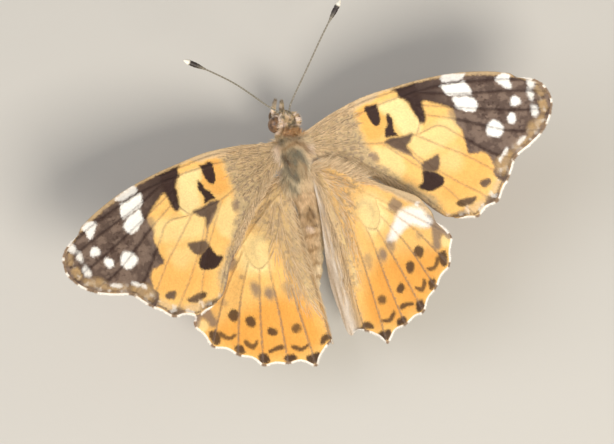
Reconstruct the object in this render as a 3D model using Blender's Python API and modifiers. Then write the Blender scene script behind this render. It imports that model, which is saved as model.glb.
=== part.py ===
"""A painted lady butterfly at life size, standing with its four wings part open.

The shapes are made in millimetres. Body and wings are made in the butterfly's own frame: +X to its right,
+Y to its head and +Z out of its back, with the middle of the thorax at zero. Each wing is drawn flat first,
in u outwards and v forwards from its hinge, and is then bent and turned into place. The legs are made over
the floor. Each finished mesh is scaled to metres and hung from one of two empties, which stand the body
head-up on its feet and bring the middle of the whole butterfly's box over the origin.
"""
import math

import bmesh
import bpy
from mathutils import Matrix, Vector
from mathutils.geometry import delaunay_2d_cdt, intersect_point_line

MM = 0.001
GAP = 0.3

# How the body stands over the floor
BODY_PITCH = 12.0
THORAX_HEIGHT = 7.0

# Thorax, an egg cut flat at the neck and at the waist
THORAX_CENTRE = (0.1, 0.3, 0.0)
THORAX_RADII = (2.15, 4.6, 2.35)
NECK_Y = 4.05
WAIST_Y = -3.35

# Abdomen, a string of seven rings that droops and bends to the left
ABDOMEN_LINE = (
    (0.0, -3.8, 0.0), (-0.4, -6.6, -0.25), (-1.1, -9.6, -0.75), (-1.85, -12.4, -1.3), (-2.45, -15.2, -1.9),
)
ABDOMEN_RADII = (1.3, 1.5, 1.55, 1.25, 0.4)
ABDOMEN_RINGS = 7
RING_CREASE = 0.09

# Head and what it carries. It is drawn upright and then rolled about its length, its left side up
HEAD_CENTRE = (0.2, 5.5, 0.1)
HEAD_RADII = (1.35, 1.4, 1.5)
HEAD_ROLL = 32.0
EYE_SIDE = 1.4
EYE_CENTRE_Y = 5.45
EYE_CENTRE_Z = 0.1
EYE_RADII = (0.8, 1.0, 1.1)
PALP_LINE = ((0.62, 5.9, -0.6), (0.62, 6.9, -0.6), (0.57, 7.6, -0.25), (0.5, 8.15, 0.2))
PALP_RADII = (0.3, 0.34, 0.32, 0.12)
TONGUE_ROOT = (6.1, -0.6)
COIL_CENTRE_Y = 6.6
COIL_CENTRE_Z = -2.2
COIL_START = 70.0
COIL_TURNS = 1.4
COIL_STEPS = 16
COIL_INNER = 0.25
COIL_OUTER = 0.9
COIL_RADIUS = 0.2
ANTENNA_LINES = {
    "left": ((0.15, 5.9, 0.5), (-0.1, 6.7, 1.2), (-1.2, 7.85, 2.15), (-3.95, 11.0, 5.2), (-6.6, 13.3, 7.4),
             (-9.0, 15.2, 8.6)),
    "right": ((0.75, 5.9, 0.3), (1.2, 6.6, 1.1), (1.85, 7.5, 1.95), (4.9, 10.6, 3.6), (7.9, 13.8, 4.3),
              (11.1, 17.0, 4.6)),
}
ANTENNA_RADIUS = 0.25
CLUB_RADIUS = 0.42
CLUB_SHARE = 0.17
CLUB_TIP_RADIUS = 0.2

# Forewing, flat: from the root along the costa to the apex, down the outer margin to the tornus and back
FOREWING_OUTLINE = (
    (-1.0, 0.6), (0.6, 0.9), (4.2, 1.6), (8.6, 1.95), (12.5, 1.65), (16.5, 1.15), (20.7, 0.3), (24.8, -1.15),
    (28.2, -2.9), (30.2, -4.4), (30.95, -6.2), (30.5, -8.2), (28.6, -10.2), (26.4, -11.2), (24.1, -12.0),
    (22.4, -13.9), (21.3, -14.7), (20.0, -16.0), (18.4, -16.1), (17.0, -16.8), (15.6, -16.4), (14.1, -16.1),
    (12.3, -14.2), (10.7, -11.8), (8.5, -9.7), (6.0, -7.0), (3.2, -4.7), (0.9, -2.7), (-1.0, -1.6),
)
FOREWING_VEINS = (
    ((-0.6, 0.1), (4.2, 1.0), (8.6, 1.35), (12.5, 1.05), (15.5, 0.75)),
    ((-0.6, -0.4), (4.5, 0.0), (9.5, 0.25), (13.0, 0.15), (18.8, -0.5), (25.3, -2.4), (30.2, -4.4)),
    ((-0.6, -0.8), (4.5, -2.4), (9.0, -4.1), (13.6, -4.8), (14.7, -3.2), (14.6, -1.4), (14.0, 0.0)),
    ((15.6, -0.2), (20.0, -2.1), (26.5, -4.3), (30.95, -6.2)),
    ((14.6, -1.4), (20.0, -3.9), (25.6, -6.4), (30.5, -8.2)),
    ((14.7, -2.6), (19.0, -5.0), (24.2, -8.4), (28.6, -10.2)),
    ((14.4, -4.0), (16.7, -4.9), (18.9, -7.3), (21.8, -10.5), (24.1, -12.0)),
    ((13.4, -4.8), (16.2, -7.4), (18.3, -9.3), (20.4, -11.6), (22.4, -13.9)),
    ((11.2, -4.6), (13.2, -8.0), (15.9, -11.5), (18.0, -13.8), (20.0, -16.0)),
    ((9.0, -4.1), (12.4, -8.6), (14.9, -12.6), (17.0, -16.8)),
    ((-0.6, -1.2), (4.5, -4.4), (9.2, -9.0), (12.1, -12.7), (14.1, -16.1)),
)

# Hindwing, flat: from the root along the costa, round the scalloped margin and up the inner edge
HINDWING_OUTLINE = (
    (-0.9, 0.5), (0.8, 0.6), (3.2, -0.4), (7.9, -4.2), (10.3, -5.9), (12.9, -7.8), (13.9, -9.4),
    (14.9, -11.4), (16.3, -13.8), (15.6, -15.4), (15.1, -17.2), (13.5, -18.0), (12.5, -19.2), (11.0, -20.0),
    (10.0, -21.4), (8.5, -21.5), (7.1, -22.1), (5.5, -22.2), (4.0, -23.4), (2.9, -22.2), (1.4, -21.1),
    (0.0, -20.6), (-1.6, -20.4), (-2.2, -17.1), (-2.5, -14.0), (-2.2, -11.0), (-1.6, -8.0), (-1.1, -5.0),
    (-0.9, -2.4),
)
HINDWING_VEINS = (
    ((-0.3, -0.2), (4.0, -1.9), (9.0, -5.4), (12.2, -8.2), (13.9, -9.4)),
    ((-0.3, -0.6), (4.0, -3.3), (7.5, -6.2), (11.5, -9.6), (16.3, -13.8)),
    ((-0.3, -1.0), (1.6, -3.6), (3.2, -6.4), (5.2, -9.2), (6.6, -9.8), (7.5, -8.4), (7.5, -6.2)),
    ((7.6, -6.9), (11.5, -11.4), (15.1, -17.2)),
    ((7.5, -8.4), (10.2, -13.2), (12.5, -19.2)),
    ((6.6, -9.8), (8.4, -15.5), (10.0, -21.4)),
    ((5.2, -9.2), (6.1, -15.8), (7.1, -22.1)),
    ((3.2, -6.4), (3.7, -15.0), (4.0, -23.4)),
    ((-0.2, -1.5), (0.9, -8.4), (1.1, -15.0), (1.4, -21.1)),
)

# How thick the wings are at the membrane and at a vein's crest, how wide a vein is, and how finely the flat
# wing is split: the steps between corners, and the least distances that they keep from one another
MEMBRANE = 0.5
VEIN = 0.95
VEIN_HALF_WIDTH = 0.5
RIM_STEP = 1.2
VEIN_STEP = 1.8
FIELD_STEP = 2.4
ROW_SHARE = 0.87
CREST_ROOM = 0.5
FOOT_ROOM = 0.4
FIELD_ROOM = 1.0
ON_RIM = 0.05

# How each wing is held: its hinge, and in degrees its sweep, its rise and its twist about its own length,
# its droop to the tip, and how far and from which line its inner strip is tucked down beside the abdomen
WING_POSES = {
    "forewing_left": {"hinge": (2.0, 2.6, 1.6), "sweep": -2.3, "rise": 27.3, "twist": -1.3, "droop": 0.040},
    "forewing_right": {"hinge": (2.0, 2.6, 1.6), "sweep": 2.3, "rise": 21.0, "twist": 3.9, "droop": 0.002},
    "hindwing_left": {"hinge": (1.9, -1.4, 1.1), "sweep": -0.5, "rise": 9.6, "twist": -9.3, "droop": 0.036},
    "hindwing_right": {"hinge": (1.9, -1.4, 2.1), "sweep": 0.5, "rise": 31.7, "twist": -7.0, "droop": 0.012},
}
WING_LENGTH = 30.0
TUCKS = {"hindwing_left": 78.0, "hindwing_right": 12.0}
TUCK_START = 0.5
TUCK_SPREAD = 0.07
TUCK_BEND = 0.9

# Legs on the floor, and the small forelegs folded under the thorax
LEG_RADII = (0.36, 0.42, 0.38, 0.30, 0.30, 0.27, 0.27)
TOE_HEIGHT = 0.22
LEG_PATHS = {
    "leg_mid": ((0.9, 1.6, 5.4), (1.6, 2.2, 4.3), (5.6, 3.2, 6.0), (7.8, 4.2, 3.2), (9.4, 4.9, 0.7),
                (10.1, 5.2, TOE_HEIGHT), (12.0, 6.0, TOE_HEIGHT)),
    "leg_hind": ((0.9, -1.0, 5.0), (1.5, -2.2, 3.9), (4.8, -5.2, 5.3), (6.3, -8.4, 3.0), (7.3, -11.0, 0.7),
                 (7.6, -11.8, TOE_HEIGHT), (8.3, -13.8, TOE_HEIGHT)),
}
FORELEG_PATH = ((0.7, 2.6, -1.2), (0.9, 3.0, -2.3), (1.3, 4.4, -3.2), (1.0, 3.2, -3.9), (0.9, 2.2, -3.8))
FORELEG_RADII = (0.34, 0.36, 0.3, 0.28, 0.12)

# Colours: red, green, blue, roughness
COLOURS = {
    "fur": (0.36, 0.28, 0.18, 0.9),
    "eye": (0.12, 0.07, 0.05, 0.3),
    "shaft": (0.30, 0.26, 0.22, 0.7),
    "wing": (0.80, 0.36, 0.07, 0.8),
    "leg": (0.50, 0.42, 0.32, 0.7),
}


def clear_scene():
    for scene_object in list(bpy.data.objects):
        bpy.data.objects.remove(scene_object)


def new_collection(name):
    collection = bpy.data.collections.new(name)
    bpy.context.scene.collection.children.link(collection)
    return collection


def make_material(name):
    red, green, blue, roughness = COLOURS[name]
    material = bpy.data.materials.new(name)
    material.use_nodes = True
    shader = material.node_tree.nodes["Principled BSDF"]
    shader.inputs["Base Color"].default_value = (red, green, blue, 1.0)
    shader.inputs["Roughness"].default_value = roughness
    return material


def link_new(name, data):
    made = bpy.data.objects.new(name, data)
    bpy.context.scene.collection.objects.link(made)
    return made


def settled(source):
    """Replace an object by a plain mesh of its evaluated shape, with loose caps welded."""
    bpy.context.view_layer.update()
    graph = bpy.context.evaluated_depsgraph_get()
    mesh = bpy.data.meshes.new_from_object(source.evaluated_get(graph))
    mesh.transform(source.matrix_world)
    name = source.name
    bpy.data.objects.remove(source)
    shape = bmesh.new()
    shape.from_mesh(mesh)
    bmesh.ops.remove_doubles(shape, verts=shape.verts, dist=0.0005)
    bmesh.ops.recalc_face_normals(shape, faces=shape.faces)
    shape.to_mesh(mesh)
    shape.free()
    return link_new(name, mesh)


def ellipsoid(name, centre, radii, segments, rings):
    bpy.ops.mesh.primitive_uv_sphere_add(segments=segments, ring_count=rings, radius=1.0)
    ball = bpy.context.active_object
    ball.name = name
    ball.data.transform(Matrix.Translation(centre) @ Matrix.Diagonal((*radii, 1.0)))
    return ball


def tube(name, points, radii, resolution=2):
    curve = bpy.data.curves.new(name, "CURVE")
    curve.dimensions = "3D"
    curve.bevel_depth = 1.0
    curve.bevel_resolution = resolution
    curve.use_fill_caps = True
    spline = curve.splines.new("POLY")
    spline.points.add(len(points) - 1)
    for point, place, radius in zip(spline.points, points, radii):
        point.co = (*place, 1.0)
        point.radius = radius
    return settled(link_new(name, curve))


def cut_flat(body, y, keep_in_front):
    """Cut a body on a plane across its length and close it with a flat face."""
    shape = bmesh.new()
    shape.from_mesh(body.data)
    cut = bmesh.ops.bisect_plane(
        shape, geom=shape.verts[:] + shape.edges[:] + shape.faces[:], plane_co=(0.0, y, 0.0),
        plane_no=(0.0, 1.0, 0.0), clear_inner=keep_in_front, clear_outer=not keep_in_front)
    rim = [item for item in cut["geom_cut"] if isinstance(item, bmesh.types.BMEdge)]
    bmesh.ops.contextual_create(shape, geom=rim)
    bmesh.ops.recalc_face_normals(shape, faces=shape.faces)
    shape.to_mesh(body.data)
    shape.free()


def largest_body(mesh):
    """Delete all but the largest closed surface of a mesh."""
    shape = bmesh.new()
    shape.from_mesh(mesh)
    unseen = set(shape.verts)
    bodies = []
    while unseen:
        front = [unseen.pop()]
        body = set(front)
        while front:
            for edge in front.pop().link_edges:
                for corner in edge.verts:
                    if corner in unseen:
                        unseen.discard(corner)
                        body.add(corner)
                        front.append(corner)
        bodies.append(body)
    kept = max(bodies, key=len)
    bmesh.ops.delete(shape, geom=[corner for corner in shape.verts if corner not in kept], context="VERTS")
    shape.to_mesh(mesh)
    shape.free()


def trim(body, cutters):
    """Cut a body clear of others, each a little larger than the part that it stands for."""
    for cutter in cutters:
        modifier = body.modifiers.new("trim", "BOOLEAN")
        modifier.operation = "DIFFERENCE"
        modifier.object = cutter
        body = settled(body)
    largest_body(body.data)
    return body


def grown(radii):
    return tuple(radius + GAP for radius in radii)


def smooth_line(points, step, closed=False):
    """Catmull-Rom curve through named points, with about the given step between its samples."""
    places = [Vector(point) for point in points]
    count = len(places)
    spans = count if closed else count - 1
    samples = []
    for index in range(spans):
        if closed:
            before, start, end, after = (places[(index + shift) % count] for shift in (-1, 0, 1, 2))
        else:
            start, end = places[index], places[index + 1]
            before = places[index - 1] if index > 0 else start * 2.0 - end
            after = places[index + 2] if index + 2 < count else end * 2.0 - start
        pieces = max(1, round((end - start).length / step))
        for piece in range(pieces):
            t = piece / pieces
            samples.append(0.5 * (
                2.0 * start + (end - before) * t + (2.0 * before - 5.0 * start + 4.0 * end - after) * t ** 2
                + (3.0 * start - before - 3.0 * end + after) * t ** 3))
    if not closed:
        samples.append(places[-1])
    return samples


def distance_to_line(point, line):
    nearest = math.inf
    for start, end in zip(line, line[1:]):
        foot, share = intersect_point_line(point, start, end)
        foot = start if share < 0.0 else end if share > 1.0 else foot
        nearest = min(nearest, (Vector(foot[:2]) - point).length)
    return nearest


def inside(point, loop):
    crossings = 0
    for start, end in zip(loop, loop[1:] + loop[:1]):
        if (start.y > point.y) != (end.y > point.y):
            across = start.x + (point.y - start.y) * (end.x - start.x) / (end.y - start.y)
            crossings += point.x < across
    return crossings % 2 == 1


def crest_joint(point, corners, edges):
    """The corner where a vein meets a crest made before it. That crest is split there if it has none."""
    nearest = math.inf
    for edge in edges:
        start, end = (corners[index] for index in edge)
        foot, share = intersect_point_line(point, start, end)
        foot = Vector(start.lerp(end, min(1.0, max(0.0, share))))
        if (foot - point).length < nearest:
            nearest = (foot - point).length
            best_edge, best_foot = edge, foot
    for index in best_edge:
        if (corners[index] - best_foot).length < CREST_ROOM:
            return index
    corners.append(best_foot)
    joint = len(corners) - 1
    edges.remove(best_edge)
    edges.extend(((best_edge[0], joint), (joint, best_edge[1])))
    return joint


def add_crests(veins, rim, corners, edges):
    """Add each vein's crest, from the crest that it branches from out to the rim. Gives their lines."""
    closed_rim = rim + rim[:1]
    lines = []
    for vein in veins:
        line = smooth_line(vein, VEIN_STEP)
        chain = []
        for point in line:
            to_rim = distance_to_line(point, closed_rim)
            to_crest = min((distance_to_line(point, other) for other in lines), default=math.inf)
            if to_rim < ON_RIM:
                chain.append(rim.index(min(rim, key=lambda corner: (corner - point).length)))
            elif to_crest > CREST_ROOM and to_rim > CREST_ROOM:
                corners.append(point)
                chain.append(len(corners) - 1)
            elif to_crest <= CREST_ROOM and point in (line[0], line[-1]):
                chain.append(crest_joint(point, corners, edges))
        edges.extend(zip(chain, chain[1:]))
        lines.append(line)
    return lines


def vein_feet(lines, rim):
    """Points along both sides of each vein, where its ridge comes down to the membrane."""
    closed_rim = rim + rim[:1]
    feet = []
    for number, line in enumerate(lines):
        others = lines[:number] + lines[number + 1:]
        for before, point, after in zip(line, line[1:], line[2:]):
            along = (after - before).normalized()
            for side in (-VEIN_HALF_WIDTH, VEIN_HALF_WIDTH):
                foot = point + side * Vector((-along.y, along.x))
                if (inside(foot, rim) and distance_to_line(foot, closed_rim) > FOOT_ROOM
                        and all(distance_to_line(foot, other) > FOOT_ROOM for other in others)
                        and all((foot - other).length > FOOT_ROOM for other in feet)):
                    feet.append(foot)
    return feet


def field_points(lines, rim):
    """Points that fill the membrane between the veins, in staggered rows."""
    closed_rim = rim + rim[:1]
    left, right = min(point.x for point in rim), max(point.x for point in rim)
    low, high = min(point.y for point in rim), max(point.y for point in rim)
    row_step = FIELD_STEP * ROW_SHARE
    points = []
    for row in range(int((high - low) / row_step) + 1):
        stagger = (row % 2) / 2.0
        for column in range(int((right - left) / FIELD_STEP) + 2):
            point = Vector((left + (column - stagger) * FIELD_STEP, low + row * row_step))
            if inside(point, rim) and all(
                    distance_to_line(point, line) > FIELD_ROOM for line in lines + [closed_rim]):
                points.append(point)
    return points


def split_wing(outline, veins):
    """Split a flat wing into triangles whose edges follow its rim and its veins' crests.

    Gives its corners, its triangles and whether each corner is on a crest, as 1 or 0.
    """
    rim = smooth_line(outline, RIM_STEP, closed=True)
    corners = list(rim)
    edges = []
    lines = add_crests(veins, rim, corners, edges)
    crests = range(len(rim), len(corners))
    corners += vein_feet(lines, rim) + field_points(lines, rim)
    made, _, triangles, sources, _, _ = delaunay_2d_cdt(corners, edges, [list(range(len(rim)))], 1, 0.001)
    weights = [float(not indices or any(index in crests for index in indices)) for indices in sources]
    return made, triangles, weights


def bent(u, v, name):
    """Where a point of the flat wing lies once the wing droops and its inner strip is tucked down."""
    pose = WING_POSES[name]
    height = -pose["droop"] * u * u / WING_LENGTH
    line = TUCK_START + TUCK_SPREAD * max(0.0, -v)
    if name in TUCKS and u < line:
        full = math.radians(TUCKS[name])
        run = line - u
        turned = min(full, run / TUCK_BEND)
        straight = max(0.0, run - full * TUCK_BEND)
        u = line - TUCK_BEND * math.sin(turned) - straight * math.cos(full)
        height -= TUCK_BEND * (1.0 - math.cos(turned)) + straight * math.sin(full)
    return Vector((u, v, height))


def wing_matrix(name):
    """From a bent right wing to its place on the body. A left wing is the mirror image."""
    pose = WING_POSES[name]
    matrix = (Matrix.Translation(pose["hinge"])
              @ Matrix.Rotation(-math.radians(pose["rise"]), 4, "Y")
              @ Matrix.Rotation(math.radians(pose["twist"]), 4, "X")
              @ Matrix.Rotation(math.radians(pose["sweep"]), 4, "Z"))
    if name.endswith("left"):
        matrix = Matrix.Diagonal((-1.0, 1.0, 1.0, 1.0)) @ matrix
    return matrix


def make_wing(name, outline, veins):
    corners, triangles, weights = split_wing(outline, veins)
    matrix = wing_matrix(name)
    shape = bmesh.new()
    for corner in corners:
        shape.verts.new(matrix @ bent(corner.x, corner.y, name))
    shape.verts.ensure_lookup_table()
    for triangle in triangles:
        shape.faces.new([shape.verts[index] for index in triangle])
    bmesh.ops.recalc_face_normals(shape, faces=shape.faces)
    mesh = bpy.data.meshes.new(name)
    shape.to_mesh(mesh)
    shape.free()
    wing = link_new(name, mesh)
    group = wing.vertex_groups.new(name="vein")
    for index, weight in enumerate(weights):
        group.add([index], weight, "REPLACE")
    shell = wing.modifiers.new("thickness", "SOLIDIFY")
    shell.thickness = VEIN
    shell.offset = 0.0
    shell.vertex_group = "vein"
    shell.thickness_vertex_group = MEMBRANE / VEIN
    return settled(wing)


def make_abdomen(growth=0.0, name="abdomen"):
    """Seven rings, each swelling between the creases, along a line that droops and bends."""
    line = smooth_line(ABDOMEN_LINE, 0.5)
    last = len(line) - 1
    radii = []
    for index in range(len(line)):
        share = index / last
        place = share * (len(ABDOMEN_RADII) - 1)
        station = min(int(place), len(ABDOMEN_RADII) - 2)
        blend = place - station
        blend = blend * blend * (3.0 - 2.0 * blend)
        plain = ABDOMEN_RADII[station] * (1.0 - blend) + ABDOMEN_RADII[station + 1] * blend
        crease = RING_CREASE * abs(math.cos(math.pi * share * ABDOMEN_RINGS)) ** 3
        radii.append(plain * (1.0 - crease) + growth)
    return tube(name, line, radii, resolution=4)


def make_head():
    head = ellipsoid("head", HEAD_CENTRE, HEAD_RADII, 20, 14)
    cut_flat(head, NECK_Y + GAP, keep_in_front=True)
    sockets = [ellipsoid("socket", eye_centre(side), grown(EYE_RADII), 20, 14) for side in (-1.0, 1.0)]
    head = trim(head, sockets)
    for socket in sockets:
        bpy.data.objects.remove(socket)
    return head


def eye_centre(side):
    return (HEAD_CENTRE[0] + side * EYE_SIDE, EYE_CENTRE_Y, EYE_CENTRE_Z)


def roll_head(bodies):
    """Turn the upright head, or what it carries, about the head's own length."""
    centre = Matrix.Translation(HEAD_CENTRE)
    roll = centre @ Matrix.Rotation(math.radians(HEAD_ROLL), 4, "Y") @ centre.inverted()
    for body in bodies:
        body.data.transform(roll)


def make_thorax():
    thorax = ellipsoid("thorax", THORAX_CENTRE, THORAX_RADII, 24, 18)
    cut_flat(thorax, NECK_Y, keep_in_front=False)
    cut_flat(thorax, WAIST_Y, keep_in_front=True)
    return thorax


def make_palp(name, side, cutters):
    line = [(HEAD_CENTRE[0] + side * x, y, z) for x, y, z in PALP_LINE]
    return trim(tube(name, line, PALP_RADII), cutters)


def make_proboscis(cutters):
    """The tongue, coiled under the head: from the head's underside round into the coil's middle."""
    steps = round(COIL_TURNS * COIL_STEPS)
    line = [(HEAD_CENTRE[0], *TONGUE_ROOT)]
    for step in range(steps + 1):
        share = step / steps
        angle = math.radians(COIL_START) - share * COIL_TURNS * math.tau
        radius = COIL_OUTER + (COIL_INNER - COIL_OUTER) * share
        y = COIL_CENTRE_Y + radius * math.cos(angle)
        z = COIL_CENTRE_Z + radius * math.sin(angle)
        line.append((HEAD_CENTRE[0], y, z))
    return trim(tube("proboscis", line, [COIL_RADIUS] * len(line), resolution=1), cutters)


def make_antenna(name, points, cutters):
    """A thin shaft that swells into a club over its last stretch."""
    line = smooth_line(points, 1.0)
    last = len(line) - 1
    club_start = 1.0 - CLUB_SHARE
    club_full = 1.0 - CLUB_SHARE * 0.4
    radii = []
    for index in range(len(line)):
        share = index / last
        swell = min(1.0, max(0.0, (share - club_start) / (club_full - club_start)))
        radii.append(ANTENNA_RADIUS + (CLUB_RADIUS - ANTENNA_RADIUS) * math.sin(swell * math.pi / 2.0))
    radii[-1] = CLUB_TIP_RADIUS
    return trim(tube(name, line, radii), cutters)


def make_leg(name, side, path, radii, cutters, on_floor):
    """A leg from its hip in the thorax. One that stands has its toes cut flat on the floor."""
    leg = tube(name, [(side * x, y, z) for x, y, z in path], radii)
    if on_floor:
        shape = bmesh.new()
        shape.from_mesh(leg.data)
        for corner in shape.verts:
            corner.co.z = max(0.0, corner.co.z)
        shape.to_mesh(leg.data)
        shape.free()
    return trim(leg, cutters)


def on_stance(body, matrix):
    """A copy of a cutter, moved from the body's frame to where it stands over the floor."""
    copy = link_new("cutter", body.data.copy())
    copy.data.transform(matrix)
    return copy


def finish(body, collection, parent, material):
    """Scale a finished mesh to metres, shade it and hang it from its empty."""
    body.data.transform(Matrix.Scale(MM, 4))
    body.data.materials.clear()
    body.data.materials.append(material)
    body.data.shade_smooth()
    body.data.set_sharp_from_angle(angle=math.radians(50.0))
    for holder in list(body.users_collection):
        holder.objects.unlink(body)
    collection.objects.link(body)
    body.parent = parent


def centre_over_origin(bodies, empties):
    """Bring the middle of the whole butterfly's box over the origin."""
    bpy.context.view_layer.update()
    places = [body.matrix_world @ corner.co for body in bodies for corner in body.data.vertices]
    for axis in (0, 1):
        middle = (min(place[axis] for place in places) + max(place[axis] for place in places)) / 2.0
        for empty in empties:
            empty.location[axis] -= middle


def build():
    clear_scene()
    collection = new_collection("painted lady butterfly")
    materials = {name: make_material(name) for name in COLOURS}
    pitch = math.radians(BODY_PITCH)
    stance = Matrix.Translation((0.0, 0.0, THORAX_HEIGHT)) @ Matrix.Rotation(pitch, 4, "X")
    body_empty = bpy.data.objects.new("body place", None)
    leg_empty = bpy.data.objects.new("leg place", None)
    for empty in (body_empty, leg_empty):
        collection.objects.link(empty)
    body_empty.rotation_euler.x = pitch
    body_empty.location.z = THORAX_HEIGHT * MM

    # Rooms: copies of the parts that others grow from, larger by the gap, to cut those others clear of them
    thorax_room = ellipsoid("thorax room", THORAX_CENTRE, grown(THORAX_RADII), 24, 18)
    head_room = ellipsoid("head room", HEAD_CENTRE, grown(HEAD_RADII), 20, 14)
    abdomen_room = make_abdomen(growth=GAP, name="abdomen room")
    eye_rooms = [ellipsoid("eye room", eye_centre(side), grown(EYE_RADII), 20, 14) for side in (-1.0, 1.0)]
    standing_room = on_stance(thorax_room, stance)

    bodies = [(make_thorax(), "fur"), (make_abdomen(), "fur")]
    face_rooms = [head_room] + eye_rooms
    face = [(make_head(), "fur"), (make_proboscis([head_room]), "leg")]
    for side, hand in ((-1.0, "left"), (1.0, "right")):
        face.append((ellipsoid(f"eye_{hand}", eye_centre(side), EYE_RADII, 20, 14), "eye"))
        face.append((make_palp(f"palp_{hand}", side, face_rooms), "fur"))
    roll_head(face_rooms + [body for body, _ in face])
    bodies += face
    for side, hand in ((-1.0, "left"), (1.0, "right")):
        bodies.append((make_antenna(f"antenna_{hand}", ANTENNA_LINES[hand], face_rooms), "shaft"))
        foreleg = make_leg(f"foreleg_{hand}", side, FORELEG_PATH, FORELEG_RADII, [thorax_room], False)
        bodies.append((foreleg, "leg"))
        for kind, outline, veins in (("forewing", FOREWING_OUTLINE, FOREWING_VEINS),
                                     ("hindwing", HINDWING_OUTLINE, HINDWING_VEINS)):
            wing = make_wing(f"{kind}_{hand}", outline, veins)
            bodies.append((trim(wing, [thorax_room, abdomen_room]), "wing"))
    standing = []
    for side, hand in ((-1.0, "left"), (1.0, "right")):
        for kind, path in LEG_PATHS.items():
            leg = make_leg(f"{kind}_{hand}", side, path, LEG_RADII, [standing_room], True)
            standing.append((leg, "leg"))

    for cutter in [thorax_room, head_room, abdomen_room, standing_room] + eye_rooms:
        bpy.data.objects.remove(cutter)
    for body, material in bodies:
        finish(body, collection, body_empty, materials[material])
    for leg, material in standing:
        finish(leg, collection, leg_empty, materials[material])
    centre_over_origin([body for body, _ in bodies + standing], (body_empty, leg_empty))


build()
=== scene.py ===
"""Looks of a painted lady butterfly: scaled wings, furry body, eyes, feelers, legs and a plain stage.

Laid out as a Blender add-on and run as a script. Shapes are worked out in millimetres, in the
butterfly's own frame: +X to its right, +Y to its head, +Z out of its back. A wing is drawn flat first,
in u outwards and v forwards from its hinge, and then bent and turned into place. One matrix takes all
of it to the frame's metres.
"""

import math

import bpy
import numpy as np
from mathutils import Matrix, Vector
from mathutils.geometry import delaunay_2d_cdt


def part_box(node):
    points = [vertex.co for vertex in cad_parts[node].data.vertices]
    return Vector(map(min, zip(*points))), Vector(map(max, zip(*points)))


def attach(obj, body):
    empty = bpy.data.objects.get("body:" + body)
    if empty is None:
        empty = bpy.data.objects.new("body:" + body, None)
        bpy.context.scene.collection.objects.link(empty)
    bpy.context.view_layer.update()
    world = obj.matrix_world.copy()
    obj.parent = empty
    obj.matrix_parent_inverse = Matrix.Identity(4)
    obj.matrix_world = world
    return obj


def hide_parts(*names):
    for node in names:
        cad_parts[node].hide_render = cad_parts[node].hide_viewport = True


bl_info = {
    "name": "Painted lady butterfly",
    "version": (1, 0, 0),
    "blender": (4, 5, 0),
    "location": "View3D > Sidebar > Butterfly",
    "description": "Wings, scales, fur, eyes, feelers, legs and a stage for a life-size painted lady",
    "category": "Add Mesh",
}

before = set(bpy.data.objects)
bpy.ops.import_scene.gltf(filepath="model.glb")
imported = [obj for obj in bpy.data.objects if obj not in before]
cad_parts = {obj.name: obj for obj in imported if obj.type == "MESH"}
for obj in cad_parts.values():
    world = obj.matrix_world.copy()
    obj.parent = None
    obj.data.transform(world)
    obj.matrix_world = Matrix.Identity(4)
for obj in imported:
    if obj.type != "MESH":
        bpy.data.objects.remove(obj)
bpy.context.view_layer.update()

MM = 0.001
SEED = 7
SIDES = {"left": -1.0, "right": 1.0}

# Body, as in the solids
BODY_PITCH = 12.0
THORAX_CENTRE = (0.1, 0.3, 0.0)
THORAX_RADII = (2.15, 4.6, 2.35)
ABDOMEN_LINE = (
    (0.0, -3.8, 0.0), (-0.4, -6.6, -0.25), (-1.1, -9.6, -0.75), (-1.85, -12.4, -1.3), (-2.45, -15.2, -1.9),
)
ABDOMEN_RADII = (1.3, 1.5, 1.55, 1.25, 0.4)
ABDOMEN_RINGS = 7
HEAD_CENTRE = (0.2, 5.5, 0.1)
HEAD_RADII = (1.35, 1.4, 1.5)
HEAD_ROLL = 32.0
EYE_SIDE = 1.4
EYE_CENTRE_Y = 5.45
EYE_CENTRE_Z = 0.1
EYE_RADII = (0.8, 1.0, 1.1)
PALP_LINE = ((0.62, 5.9, -0.6), (0.62, 6.9, -0.6), (0.57, 7.6, -0.25), (0.5, 8.15, 0.2))
TONGUE_ROOT = (6.1, -0.6)
COIL_CENTRE = (6.6, -2.2)
COIL_START = 70.0
COIL_TURNS = 1.4
COIL_INNER = 0.25
COIL_OUTER = 0.9
ANTENNA_LINES = {
    "left": ((0.15, 5.9, 0.5), (-0.1, 6.7, 1.2), (-1.2, 7.85, 2.15), (-3.95, 11.0, 5.2), (-6.6, 13.3, 7.4),
             (-9.0, 15.2, 8.6)),
    "right": ((0.75, 5.9, 0.3), (1.2, 6.6, 1.1), (1.85, 7.5, 1.95), (4.9, 10.6, 3.6), (7.9, 13.8, 4.3),
              (11.1, 17.0, 4.6)),
}
LEG_PATHS = {
    "leg_mid": ((0.9, 1.6, 5.4), (1.6, 2.2, 4.3), (5.6, 3.2, 6.0), (7.8, 4.2, 3.2), (9.4, 4.9, 0.7),
                (10.1, 5.2, 0.15), (12.0, 6.0, 0.15)),
    "leg_hind": ((0.9, -1.0, 5.0), (1.5, -2.2, 3.9), (4.8, -5.2, 5.3), (6.3, -8.4, 3.0), (7.3, -11.0, 0.7),
                 (7.6, -11.8, 0.15), (8.3, -13.8, 0.15)),
}
FORELEG_PATH = ((0.7, 2.6, -1.2), (0.9, 3.0, -2.3), (1.3, 4.4, -3.2), (1.0, 3.2, -3.9), (0.9, 2.2, -3.8))

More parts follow.
